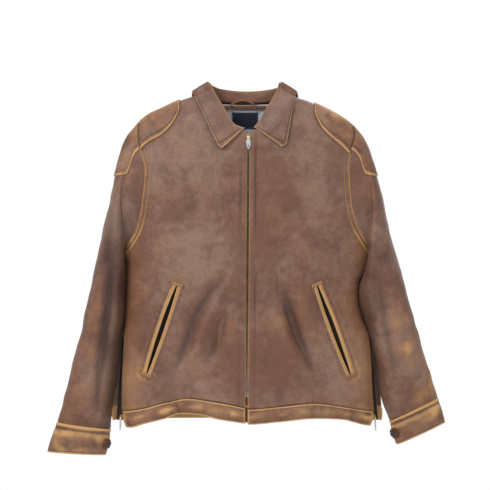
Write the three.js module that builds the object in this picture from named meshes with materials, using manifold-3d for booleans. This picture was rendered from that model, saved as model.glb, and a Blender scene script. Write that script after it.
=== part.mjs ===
// Leather riding jacket on its hanging point: a three.js model, millimetres, +Z up.
// Front faces -Y, the wearer's left is +X. The origin is the middle of the neck
// opening at the height of the back neck seam, where a clothes hanger carries it.
import * as THREE from 'three';
import { mergeVertices } from 'three/addons/utils/BufferGeometryUtils.js';
import Module from 'manifold-3d';

// ---------------------------------------------------------------- driving dimensions
const LEATHER = 1.6;            // shell leather thickness
const LINING = 0.8;             // lining cloth thickness
const GAP = 0.4;                // clearance between sewn neighbours
const SHOULDER_R = 50;          // how far down the shoulder rounds over
const SIDE_POWER = 3;           // fullness of the chest section
const HEM_FLAT_Z = -641;        // flat lower edge of the back hem band
const ZIP_TOP_Z = -64, ZIP_END_Z = -604;
const ZIP_EDGE = 5.0;           // front panel edge to zip centre line
const SLIDER_Z = -70;
const POCKET_SLIT = 6.5, WELT_W = 8;
const CUFF_BUTTON_D = 22;
const SIDE_ZIP_TOP = -476, SIDE_ZIP_END = -642, SIDE_SLIDER_Z = -634;

// zip centre line: straight, leaning forward towards the hem
const CF = { x0: 3, z0: -64, x1: -1, z1: -608, y0: -58, dy: -20 / 560 };
// shoulder ridge height over x
const RIDGE = [[-262, -120], [-240, -64], [-215, -37], [-195, -22], [-169, -10], [-136, 6], [-111, 14], [-86, 24], [0, 60],
  [86, 20], [101, 13], [124, 5], [153, -8], [182, -23], [212, -44], [240, -80], [262, -130]];
// side silhouette of the body: x over z, right side (-X) and left side (+X)
const SIDE_R = [[60, -240], [-100, -250], [-270, -252], [-300, -252], [-320, -247], [-360, -246], [-396, -247], [-492, -250], [-581, -253], [-622, -251], [-655, -244]];
const SIDE_L = [[60, 240], [-100, 250], [-270, 254], [-300, 254], [-337, 243], [-362, 228], [-393, 226], [-426, 233], [-456, 243], [-500, 250], [-603, 254], [-625, 255], [-655, 248]];
const BACK_R = [[60, -240], [-100, -250], [-270, -252], [-300, -252], [-320, -247], [-360, -246], [-396, -247], [-440, -249], [-467, -252], [-542, -262], [-600, -269], [-627, -273], [-650, -270]];
const BACK_L = [[60, 240], [-100, 250], [-270, 254], [-300, 254], [-337, 243], [-362, 228], [-393, 226], [-426, 234], [-450, 243], [-474, 250], [-523, 262], [-587, 271], [-635, 273], [-650, 270]];
// depth of the front and of the back at the middle
const DEPTH_F = [[80, 35], [40, 38], [22, 42], [0, 47], [-28, 53], [-55, 57.7], [-660, 79.3]];
const DEPTH_B = [[80, 36], [22, 42], [0, 48], [-50, 54], [-120, 58], [-300, 62], [-660, 66]];
// armhole, neck and hem lines: [x, z] from the top (or centre) outwards
const ARM_R = [[-215, -37], [-217, -62], [-213, -94], [-204, -128], [-204, -160], [-207, -190], [-212, -221], [-219, -247], [-232, -272], [-245, -291], [-252, -300]];
const ARM_L = [[212, -44], [214, -66], [206, -92], [203, -124], [204, -158], [206, -188], [211, -219], [221, -247], [235, -271], [247, -290], [254, -300]];
const NECK_R = [[-2, -58], [-34, -50], [-60, -28], [-78, 0], [-86, 24]];
const NECK_L = [[8, -58], [30, -50], [54, -28], [76, 0], [86, 20]];
const NECKB = [[-86, 24], [-72, 9], [-46, 2], [0, 0], [46, 2], [72, 8], [86, 20]];
const HEM_SEAM = [[-275, -622], [-245, -620], [-208, -614], [-162, -601], [-116, -592], [-70, -598], [-6, -610], [4, -613], [66, -608], [135, -602], [193, -610], [255, -621], [275, -623]];
const HEM_EDGE = [[-275, -652], [-243, -653], [-208, -644], [-162, -632], [-130, -622], [-93, -624], [-57, -633], [-6, -641], [4, -643], [66, -638], [135, -632], [193, -635], [216, -641], [248, -649], [275, -652]];
// pocket slit ends [x, z] and sleeve rings: outer [x, z], inner [x, z], half depth, y centre
const POCKET_R = [[-141, -370], [-200, -540]], POCKET_L = [[142, -370], [206, -541]];
const RINGS_R = [null,
  [-241, -68, -258, -308, 44, 0], [-259, -116, -258, -318, 52, 0], [-270, -166, -257, -330, 58, 0], [-284, -226, -256, -347, 62, 1],
  [-300, -300, -254, -374, 62, 2], [-318, -380, -253, -413, 60, 3], [-335, -456, -255, -470, 53, 4],
  [-353, -522, -265, -532, 46, 5], [-370, -592, -275, -600, 38, 6], [-384, -644, -277, -658, 28, 7]];
const RINGS_L = [null,
  [236, -72, 259, -308, 44, 0], [254, -114, 259, -318, 52, 0], [268, -166, 257, -330, 58, 0], [281, -226, 253, -347, 62, 1],
  [300, -300, 248, -374, 62, 2], [321, -378, 247, -413, 60, 3], [344, -452, 254, -470, 53, 4],
  [357, -502, 267, -530, 46, 5], [372, -552, 277, -592, 38, 6], [386, -595, 289, -641, 28, 7]];
const CUFF_R = [[-387, -648, -276, -662, 27, 7], [-395, -676, -281, -687, 25, 7], [-404, -705, -287, -711, 22, 7]];
const CUFF_L = [[387, -598, 290, -645, 27, 7], [394, -621, 296, -667, 25, 7], [401, -645, 304, -690, 22, 7]];
// front edge of the shoulder patch: drop below the ridge over |x|
const PATCH_DROP = [[134, 4], [137, 22], [142, 33], [154, 47], [178, 56], [203, 57], [218, 58]];

// ---------------------------------------------------------------- small maths
const clamp = (v, a, b) => Math.min(b, Math.max(a, v));
const lerp = (a, b, t) => a + (b - a) * t;
const smooth = (t) => { t = clamp(t, 0, 1); return t * t * (3 - 2 * t); };
function table(rows, x) {
  const up = rows[0][0] < rows[rows.length - 1][0];
  const r = up ? rows : [...rows].reverse();
  if (x <= r[0][0]) return r[0][1];
  for (let i = 1; i < r.length; i++) if (x <= r[i][0]) return lerp(r[i - 1][1], r[i][1], (x - r[i - 1][0]) / (r[i][0] - r[i - 1][0]));
  return r[r.length - 1][1];
}
const V = (x, y, z) => new THREE.Vector3(x, y, z);
const cfX = (z) => lerp(CF.x0, CF.x1, (CF.z0 - z) / (CF.z0 - CF.z1));
const cfY = (z) => -table(DEPTH_F, z);
const ridge = (x) => table(RIDGE, x);
const fullness = (u) => Math.sqrt(Math.max(0, 1 - Math.min(1, u) ** SIDE_POWER));
const roundOver = (d) => { const k = 1 - clamp(d / SHOULDER_R, 0, 1); return Math.sqrt(Math.max(0, 1 - k * k)); };

// a point of the body surface, `off` millimetres inside it
function body(x, z, off, back) {
  const hw = Math.abs(x < 0 ? table(back ? BACK_R : SIDE_R, z) : table(back ? BACK_L : SIDE_L, z));
  const u = Math.min(1, Math.abs(x) / hw);
  const d = Math.max(0, ridge(x) - z);
  const D = table(back ? DEPTH_B : DEPTH_F, z) - off;
  const open = smooth((-440 - z) / 30);
  const edge = GAP / 2 + (back ? 5 : 10) * open * u ** 6;
  const y = edge + D * roundOver(d) * fullness(u);
  return V(x * (1 - off / hw), back ? y : -y, z - off * Math.max(0, 1 - d / SHOULDER_R));
}
const front = (x, z, off) => body(x, z, off, false);
const rear = (x, z, off) => body(x, z, off, true);

// ---------------------------------------------------------------- solids from grids
function solid(verts, tris) {
  let vol = 0;
  for (const [a, b, c] of tris) vol += verts[a].dot(verts[b].clone().cross(verts[c])) / 6;
  const idx = [];
  for (const [a, b, c] of tris) idx.push(...(vol < 0 ? [a, c, b] : [a, b, c]));
  const pos = new Float32Array(verts.length * 3);
  verts.forEach((v, i) => { pos[3 * i] = v.x; pos[3 * i + 1] = v.y; pos[3 * i + 2] = v.z; });
  const g = new THREE.BufferGeometry();
  g.setAttribute('position', new THREE.BufferAttribute(pos, 3));
  g.setIndex(idx);
  return g;
}
// sheet of nu x nv points with a second skin behind it
function sheet(nu, nv, outer, inner) {
  const v = [], t = [];
  for (const f of [outer, inner]) for (let i = 0; i < nu; i++) for (let j = 0; j < nv; j++) v.push(f(i, j));
  const o = (i, j) => i * nv + j, n = (i, j) => nu * nv + i * nv + j;
  for (let i = 0; i < nu - 1; i++) for (let j = 0; j < nv - 1; j++) {
    t.push([o(i, j), o(i + 1, j), o(i + 1, j + 1)], [o(i, j), o(i + 1, j + 1), o(i, j + 1)]);
    t.push([n(i, j), n(i + 1, j + 1), n(i + 1, j)], [n(i, j), n(i, j + 1), n(i + 1, j + 1)]);
  }
  for (let i = 0; i < nu - 1; i++) for (const j of [0, nv - 1]) {
    const q = [o(i, j), n(i, j), n(i + 1, j), o(i + 1, j)];
    if (j) q.reverse();
    t.push([q[0], q[1], q[2]], [q[0], q[2], q[3]]);
  }
  for (let j = 0; j < nv - 1; j++) for (const i of [0, nu - 1]) {
    const q = [o(i, j), o(i, j + 1), n(i, j + 1), n(i, j)];
    if (i) q.reverse();
    t.push([q[0], q[1], q[2]], [q[0], q[2], q[3]]);
  }
  return solid(v, t);
}
// open tube with a wall: K rings of N points
function tube(K, N, outer, inner) {
  const v = [], t = [];
  for (const f of [outer, inner]) for (let k = 0; k < K; k++) for (let n = 0; n < N; n++) v.push(f(k, n));
  const o = (k, n) => k * N + (n % N), i = (k, n) => K * N + k * N + (n % N);
  for (let k = 0; k < K - 1; k++) for (let n = 0; n < N; n++) {
    t.push([o(k, n), o(k + 1, n), o(k + 1, n + 1)], [o(k, n), o(k + 1, n + 1), o(k, n + 1)]);
    t.push([i(k, n), i(k + 1, n + 1), i(k + 1, n)], [i(k, n), i(k, n + 1), i(k + 1, n + 1)]);
  }
  for (let n = 0; n < N; n++) {
    t.push([o(0, n), o(0, n + 1), i(0, n + 1)], [o(0, n), i(0, n + 1), i(0, n)]);
    t.push([o(K - 1, n), i(K - 1, n + 1), o(K - 1, n + 1)], [o(K - 1, n), i(K - 1, n), i(K - 1, n + 1)]);
  }
  return solid(v, t);
}
// a bar between two points, its section given by corner offsets along two directions
function bar(p, q, a, b, a0, a1, b0, b1) {
  const at = (e, s, r) => e.clone().addScaledVector(a, s).addScaledVector(b, r);
  return sheet(2, 2, (i, j) => at(i ? q : p, j ? a1 : a0, b0), (i, j) => at(i ? q : p, j ? a1 : a0, b1));
}

// ---------------------------------------------------------------- manifold joins and cuts
const wasm = await Module();
wasm.setup();
function toManifold(geometry) {
  let g = geometry.clone();
  g.deleteAttribute('normal'); g.deleteAttribute('uv');
  g = mergeVertices(g, 1e-4);
  return new wasm.Manifold(new wasm.Mesh({ numProp: 3, vertProperties: new Float32Array(g.attributes.position.array), triVerts: new Uint32Array(g.index.array) }));
}
function fromManifold(m) {
  const mesh = m.getMesh();
  const g = new THREE.BufferGeometry();
  g.setAttribute('position', new THREE.BufferAttribute(new Float32Array(mesh.vertProperties), 3));
  g.setIndex([...mesh.triVerts]);
  return g;
}
const cut = (a, ...bs) => fromManifold(bs.reduce((m, b) => m.subtract(toManifold(b)), toManifold(a)));
const join = (a, ...bs) => fromManifold(bs.reduce((m, b) => m.add(toManifold(b)), toManifold(a)));
function moved(g, m) { const c = g.clone(); c.applyMatrix4(m); return c; }
// frame with x along `a`, y along `b`, z along `c`, at p
const basis = (p, a, b, c) => new THREE.Matrix4().makeBasis(a, b, c).setPosition(p);

// ---------------------------------------------------------------- materials and parts
const mat = (color, roughness, metalness = 0) => new THREE.MeshStandardMaterial({ color, roughness, metalness });
const leather = () => mat(0x7d5a49, 0.55), tan = () => mat(0xb98c5c, 0.6), cloth = () => mat(0xcdd8e4, 0.8);
const black = () => mat(0x1c1a1a, 0.8), brass = () => mat(0xb08a4a, 0.35, 1), steel = () => mat(0xc9c9cc, 0.3, 1), navy = () => mat(0x1b2236, 0.8), knot = () => mat(0x3a2418, 0.5);
const jacket = new THREE.Group();
jacket.name = 'jacket';
function part(name, geometry, material) {
  const m = new THREE.Mesh(geometry, material);
  m.name = name;
  jacket.add(m);
  return m;
}

// ---------------------------------------------------------------- front panels
const SF = [0, 0.16, 0.36, 0.56, 0.74, 0.87, 0.95, 1], SL = [0, 0.3, 0.58, 0.8, 0.94, 1];
function along(poly, t) {
  const len = [0];
  for (let i = 1; i < poly.length; i++) len.push(len[i - 1] + Math.hypot(poly[i][0] - poly[i - 1][0], poly[i][1] - poly[i - 1][1]));
  const d = t * len[len.length - 1];
  for (let i = 1; i < poly.length; i++) if (d <= len[i] + 1e-9) {
    const k = (d - len[i - 1]) / (len[i] - len[i - 1]);
    return [lerp(poly[i - 1][0], poly[i][0], k), lerp(poly[i - 1][1], poly[i][1], k)];
  }
  return poly[poly.length - 1];
}
// plan of a front panel in x and z: rows follow the armhole's own points
function frontPlan(side, innerX, S = SF) {
  const neg = side < 0, arm = neg ? ARM_R : ARM_L, neck = neg ? NECK_R : NECK_L, sideT = neg ? SIDE_R : SIDE_L;
  const right = [...arm];
  for (const z of [-330, -365, -395, -430, -470, -520, -570, -619]) right.push([table(sideT, z), z]);
  const rows = right.length;
  const total = right.slice(1).reduce((s, p, i) => s + Math.hypot(p[0] - right[i][0], p[1] - right[i][1]), 0);
  let run = 0;
  const T = right.map((p, i) => { if (i) run += Math.hypot(p[0] - right[i - 1][0], p[1] - right[i - 1][1]); return run / total; });
  const top = [...neck.filter((p) => Math.abs(p[0] - cfX(-60)) > innerX), ];
  const startX = (z) => cfX(z) + side * innerX;
  const z0 = innerX > 10 ? table([...neck].sort((a, b) => a[0] - b[0]), startX(-58)) - 0.5 : -58;
  top.unshift([startX(z0), z0]);
  for (const r of (neg ? RIDGE.filter((p) => p[0] < -90 && p[0] > -214).reverse() : RIDGE.filter((p) => p[0] > 90 && p[0] < 211))) top.push([r[0], r[1]]);
  top.push([arm[0][0], arm[0][1]]);
  const zb = (x) => table(HEM_SEAM, x) + GAP;
  const left = (t) => { const z = lerp(z0, zb(startX(-610)), t); return [startX(z), z]; };
  const bottom = (s) => { const x = lerp(startX(-610), right[rows - 1][0], s); return [x, zb(x)]; };
  const tl = top[0], tr = arm[0], bl = left(1), br = [right[rows - 1][0], zb(right[rows - 1][0])];
  right[rows - 1] = br;
  return { rows, at: (i, j) => {
    const s = S[i], t = T[j], a = along(top, s), b = bottom(s), c = left(t), d = right[j];
    const q = [0, 1].map((k) => (1 - t) * a[k] + t * b[k] + (1 - s) * c[k] + s * d[k]
      - ((1 - s) * (1 - t) * tl[k] + s * (1 - t) * tr[k] + (1 - s) * t * bl[k] + s * t * br[k]));
    return q;
  } };
}
const lift = (p, dy) => V(p.x, p.y + dy, p.z);
function pocketFrame(P) {
  const [a, b] = P, dx = b[0] - a[0], dz = b[1] - a[1], L = Math.hypot(dx, dz);
  return { u: [dx / L, dz / L], n: [-dz / L, dx / L], L, a };
}
const slitPoint = (P, along_, across) => { const f = pocketFrame(P); return [f.a[0] + f.u[0] * along_ + f.n[0] * across, f.a[1] + f.u[1] * along_ + f.n[1] * across]; };
function yBlock(quad, y0, y1) { // an upright block through the cloth over a quad in x,z
  return sheet(2, 2, (i, j) => V(quad[i * 2 + j][0], y0, quad[i * 2 + j][1]), (i, j) => V(quad[i * 2 + j][0], y1, quad[i * 2 + j][1]));
}
for (const side of [-1, 1]) {
  const who = side < 0 ? 'right' : 'left', P = side < 0 ? POCKET_R : POCKET_L, f = pocketFrame(P);
  const plan = frontPlan(side, ZIP_EDGE);
  const panel = sheet(SF.length, plan.rows, (i, j) => front(...plan.at(i, j), 0), (i, j) => front(...plan.at(i, j), LEATHER));
  const half = POCKET_SLIT / 2 + WELT_W + GAP;
  const slot = yBlock([slitPoint(P, -6, -half), slitPoint(P, -6, half), slitPoint(P, f.L + 6, -half), slitPoint(P, f.L + 6, half)], -110, -20);
  part(`${who}_front_panel`, cut(panel, slot), leather());
  // two piped welts beside the pocket slit
  for (const [label, sgn] of [['inner', f.n[0] * side < 0 ? 1 : -1], ['outer', f.n[0] * side < 0 ? -1 : 1]]) {
    const N = 8, a0 = POCKET_SLIT / 2, a1 = a0 + WELT_W;
    const pt = (i, j, dy) => { const q = slitPoint(P, lerp(-5.5, f.L + 5.5, i / (N - 1)), sgn * [a0, (a0 + a1) / 2, a1][j]); return lift(front(q[0], q[1], 0), dy + (j === 1 ? -0.8 : 0)); };
    part(`${who}_pocket_${label}_welt`, sheet(N, 3, (i, j) => pt(i, j, -0.6), (i, j) => lift(pt(i, j, 0), j === 1 ? 3.2 : 2.4)), tan());
  }
  // pocket bag: a flat pouch behind the slit, open at the slit
  const bz = [-366, -572], NB = 5;
  const bagX = (z, m, k) => { const xs = P[0][0] + (z - P[0][1]) * (P[1][0] - P[0][0]) / (P[1][1] - P[0][1]); return side * lerp(80 + m, Math.abs(xs) + 13 - m, k); };
  const slab = (m, y0, y1) => sheet(NB, 5, (i, j) => { const z = lerp(bz[0] - m, bz[1] + m, j / 4), x = bagX(z, m, i / (NB - 1)); return lift(front(x, z, 0), y0); },
    (i, j) => { const z = lerp(bz[0] - m, bz[1] + m, j / 4), x = bagX(z, m, i / (NB - 1)); return lift(front(x, z, 0), y1); });
  const w = POCKET_SLIT / 2 + 0.5;
  const mouth = sheet(7, 2, (i, j) => { const q = slitPoint(P, lerp(2, f.L - 2, i / 6), j ? w : -w); return lift(front(q[0], q[1], 0), 1); },
    (i, j) => { const q = slitPoint(P, lerp(2, f.L - 2, i / 6), j ? w : -w); return lift(front(q[0], q[1], 0), 6.5); });
  part(`${who}_pocket_bag`, cut(slab(0, 3.2, 10.6), slab(1.2, 4.2, 9.6), mouth), cloth());
  // lining: close to the leather at the chest, behind the pocket bag lower down
  const lp = frontPlan(side, 62, SL);
  const lo = (z) => 4.6 + 4 * smooth((z + 70) / 60) + 14 * smooth((-260 - z) / 90);
  part(`${who}_front_lining`, sheet(SL.length, lp.rows, (i, j) => { const q = lp.at(i, j), z = lerp(q[1], q[1] + 14, smooth((-560 - q[1]) / 50)); return front(q[0], z, lo(z)); },
    (i, j) => { const q = lp.at(i, j), z = lerp(q[1], q[1] + 14, smooth((-560 - q[1]) / 50)); return front(q[0], z, lo(z) + LINING); }), cloth());
  // leather facing behind the zip, and the zip's own tape
  const neckZ = (x) => table([...(side < 0 ? NECK_R : NECK_L)].sort((a, b) => a[0] - b[0]), x);
  const strip = (x0, x1, o0, o1, ztop, zbot) => {
    const X = [x0, lerp(x0, x1, 0.5), x1], R = 7;
    const at = (i, j, o) => { const k = side * X[i], zt = ztop(cfX(-60) + k), z = lerp(zt, zbot(cfX(-620) + k), j / (R - 1)); return front(cfX(z) + k, z, o); };
    return sheet(3, R, (i, j) => at(i, j, o0), (i, j) => at(i, j, o1));
  };
  part(`${who}_front_facing`, strip(5.4, 58, 3.6, 4.8, (x) => neckZ(x) - 8, (x) => table(HEM_EDGE, x) + 4), leather());
  part(`${who}_front_zip_tape`, strip(3.5, 16, 2.1, 2.8, () => ZIP_TOP_Z + 2, () => ZIP_END_Z + 1), black());
  // hem band
  const HB = 9, hx0 = cfX(-630) + side * ZIP_EDGE;
  const hem = (i, j, o) => { const s = SF[i], zs = -637, xe = table(side < 0 ? SIDE_R : SIDE_L, zs), x = lerp(hx0, xe, s), z = j ? table(HEM_EDGE, x) : table(HEM_SEAM, x) - GAP; const xx = lerp(hx0, table(side < 0 ? SIDE_R : SIDE_L, z), s); return front(xx, z, o); };
  part(`${who}_front_hem_band`, sheet(SF.length, 2, (i, j) => hem(i, j, -0.4), (i, j) => hem(i, j, 2.4)), tan());
}

// ---------------------------------------------------------------- back panel, band, lining
const neckTop = (x) => (x > -86 && x < 86) ? table(NECKB, x) : ridge(x);
const SH = [0, 0.25, 0.5, 0.72, 0.87, 0.96, 1];
const SB = [...SH.slice(1).reverse().map((s) => -s), ...SH];
const armRows = ARM_R.length;
const sideZ = [-330, -365, -395, -430, -470, -520, -570, -611];
function backAt(i, j, end = -611) {
  const s = SB[i], neg = s < 0, arm = neg ? ARM_R : ARM_L, a = Math.abs(s);
  const edge = j < armRows ? arm[j] : [table(neg ? BACK_R : BACK_L, Math.max(end, sideZ[j - armRows])), Math.max(end, sideZ[j - armRows])];
  const x = edge[0] * a;
  const rows = armRows + sideZ.length - 1, t = j / rows;
  const mid = lerp(neckTop(arm[0][0] * a), end, Math.pow(t, 1.0));
  const lineZ = lerp(mid, edge[1], Math.pow(a, 3));
  return [j === 0 ? arm[0][0] * a : x, j === 0 ? neckTop(arm[0][0] * a) : Math.min(lineZ, neckTop(x) - 0.4 - j * 2)];
}
const rowsB = armRows + sideZ.length;
part('back_panel', sheet(SB.length, rowsB, (i, j) => rear(...backAt(i, j), 0), (i, j) => rear(...backAt(i, j), LEATHER)), leather());
part('back_lining', sheet(SB.length, rowsB, (i, j) => rear(...backAt(i, j, -598), 3.0), (i, j) => rear(...backAt(i, j, -598), 3.0 + LINING)), cloth());
const hemB = (i, j, o) => { const s = SB[i], z = j ? HEM_FLAT_Z : -611 - GAP, x = Math.abs(s) * table(s < 0 ? BACK_R : BACK_L, z); return rear(x, z, o); };
part('back_hem_band', sheet(SB.length, 2, (i, j) => hemB(i, j, -0.4), (i, j) => hemB(i, j, 2.4)), tan());
// neck facing, label and hanging loop inside the back neck
const strap = (x0, x1, z0, z1, o0, o1, n) => sheet(n, 2, (i, j) => rear(lerp(x0, x1, i / (n - 1)), lerp(z0, z1, j), o0), (i, j) => rear(lerp(x0, x1, i / (n - 1)), lerp(z0, z1, j), o1));
part('back_neck_facing', strap(-56, 52, -4.5, -15, 8.0, 9.2, 6), leather());
part('neck_label', strap(-28, 20, -19, -53, 5.6, 6.4, 3), navy());
const LOOP = [[-36, -11], [-34, -3], [-27, 4], [-16, 8.5], [-9, 9.2], [-2, 8.5], [9, 4], [16, -3], [18, -11]];
const loopN = (i) => { const a = LOOP[Math.max(0, i - 1)], b = LOOP[Math.min(LOOP.length - 1, i + 1)], l = Math.hypot(b[0] - a[0], b[1] - a[1]); return [(b[1] - a[1]) / l, -(b[0] - a[0]) / l]; };
const loopAt = (i, j, dy) => { const n = loopN(i), p = LOOP[i], k = j ? 2 : -2; return V(p[0] + n[0] * k, 35.4 + dy, p[1] + n[1] * k); };
part('hanging_loop', sheet(LOOP.length, 2, (i, j) => loopAt(i, j, 0), (i, j) => loopAt(i, j, 1.6)), leather());

// ---------------------------------------------------------------- collar
// base line on the neckline, fold line above it, outer edge of the fall: right CF, round the back, left CF
const BASE = [[-8, -55.5, -56], [-33, -54.5, -48], [-57, -48, -25], [-74, -38, 3], [-82, 0, 27], [-70, 34, 12], [-45, 43.5, 4.5], [0, 45.5, 2.5], [45, 43.5, 4.5], [70, 33, 11], [82, 0, 23.5], [72, -38, 2], [51, -48, -26], [29, -54.5, -48], [12, -55.5, -56]];
const FOLD = [[-5, -63, -52], [-27, -59, -42], [-50, -47, -7], [-68, -30, 22], [-80, 0, 45], [-74, 24, 40], [-50, 42, 32], [0, 49, 28], [50, 42, 32], [72, 24, 40], [70, 0, 45], [63, -30, 24], [44, -47, -6], [24, -59, -38], [14, -63, -50]];
const inward = (p, k, dz) => { const l = Math.hypot(p[0], p[1]); return V(p[0] - p[0] / l * k, p[1] - p[1] / l * k, p[2] + dz); };
part('collar_stand', sheet(BASE.length, 2, (i, j) => j ? inward(FOLD[i], 3.8, -2.4) : inward(BASE[i], 2.4, 0.6), (i, j) => j ? inward(FOLD[i], 5.4, -3.0) : inward(BASE[i], 4.0, 0.6)), leather());
const EDGE_R = [[-50, -93], [-57, -88], [-74, -52], [-90, -18], [-103, 9], [-111, 26]];
const EDGE_L = [[70, -90], [79, -84], [85, -50], [91, -16], [97, 10], [101, 26]];
function wing(side) {
  const neg = side < 0, F = neg ? FOLD.slice(0, 5) : FOLD.slice(10).reverse(), E = neg ? EDGE_R : EDGE_L;
  const NS = 9, NT = 4;
  const foldAt = (s) => { const k = s * (F.length - 1), i = Math.min(F.length - 2, Math.floor(k)), t = k - i; return [0, 1, 2].map((c) => lerp(F[i][c], F[i + 1][c], t)); };
  const edgeAt = (s) => along(E, s);
  const at = (i, j, o) => {
    const s = i / (NS - 1), t = j / (NT - 1), f = foldAt(s), e = edgeAt(s);
    const x = lerp(f[0], e[0], t), z = lerp(f[2], e[1], t), k = 1 - smooth((s - 0.72) / 0.28);
    const skin = -front(x, z, 0).y;
    const yF = f[1], yS = -(skin + 0.6 + (5.5 + 3 * Math.sin(Math.PI * t)) * (k + (skin > 1 ? 0.8 * (1 - k) : 0)));
    const y = Math.min(-0.6, lerp(yF, yS, 1 - (1 - t) ** 3));
    const d = V(0.15 * -side * 0, 1, 0).multiplyScalar(k).add(V(-side * 0.45, 0, -0.9).multiplyScalar(1 - k)).normalize();
    const p = V(x, Math.min(y, -0.6), z).addScaledVector(d, o);
    p.y = Math.min(p.y, -0.5);
    return p;
  };
  return sheet(NS, NT, (i, j) => at(i, j, 0), (i, j) => at(i, j, 2.2));
}
part('right_collar_wing', wing(-1), leather());
part('left_collar_wing', wing(1), leather());
const FALL_F = [[-80, 0.6, 45], ...FOLD.slice(5, 10), [70, 0.6, 45]];
const FALL_E = [[-111, 0.6, 26], [-108, 36, 6], [-78, 60, -24], [0, 66, -42], [78, 60, -24], [102, 36, 6], [101, 0.6, 26]];
part('collar_back_fall', sheet(7, 4, (i, j) => { const t = j / 3, a = FALL_F[i], b = FALL_E[i]; const q = V(lerp(a[0], b[0], t), lerp(a[1], b[1], t), lerp(a[2], b[2], t)); const r = q.clone().setZ(0).normalize(); return (i === 0 || i === 6) ? q : q.addScaledVector(r, 1.2 + 4 * Math.sin(Math.PI * t)); },
  (i, j) => { const t = j / 3, a = FALL_F[i], b = FALL_E[i]; const q = V(lerp(a[0], b[0], t), lerp(a[1], b[1], t), lerp(a[2], b[2], t)); const r = q.clone().setZ(0).normalize(); return (i === 0 || i === 6) ? q.add(V(i ? -1 : 1, 0, -1.9)) : q.addScaledVector(r, -1.0 + 4 * Math.sin(Math.PI * t)); }), leather());

const armX = (side, z) => table((side < 0 ? ARM_R : ARM_L).map(([x, h]) => [h, x]), z);
// ---------------------------------------------------------------- sleeves
const NR = 2 * (ARM_R.length - 1); // points round a ring
function ringPoint(row, n, off) {
  const [ox, oz, ix, iz, b, yc] = row;
  const phi = Math.PI * 2 * n / NR, c = Math.cos(phi), s = Math.sin(phi);
  const cx = (ox + ix) / 2, cz = (oz + iz) / 2, a = Math.hypot(ox - ix, oz - iz) / 2, ux = (ox - cx) / a, uz = (oz - cz) / a;
  const e = 2 / 2.3, ca = Math.sign(c) * Math.abs(c) ** e, sa = Math.sign(s) * Math.abs(s) ** e;
  return V(cx + ux * (a - off) * ca, yc - (b - off) * sa, cz + uz * (a - off) * ca);
}
function sleevePoint(side, k, n, off) {
  const rings = side < 0 ? RINGS_R : RINGS_L;
  if (k > 0) return ringPoint(rings[k], n, off);
  const arm = side < 0 ? ARM_R : ARM_L, H = NR / 2, j = n <= H ? n : NR - n;
  const p = n === 0 || n === H ? front(arm[j][0], arm[j][1], off).setY(0) : (n < H ? front : rear)(arm[j][0], arm[j][1], off);
  return p.add(V(side * 1.0, 0, -0.3));
}
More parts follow.
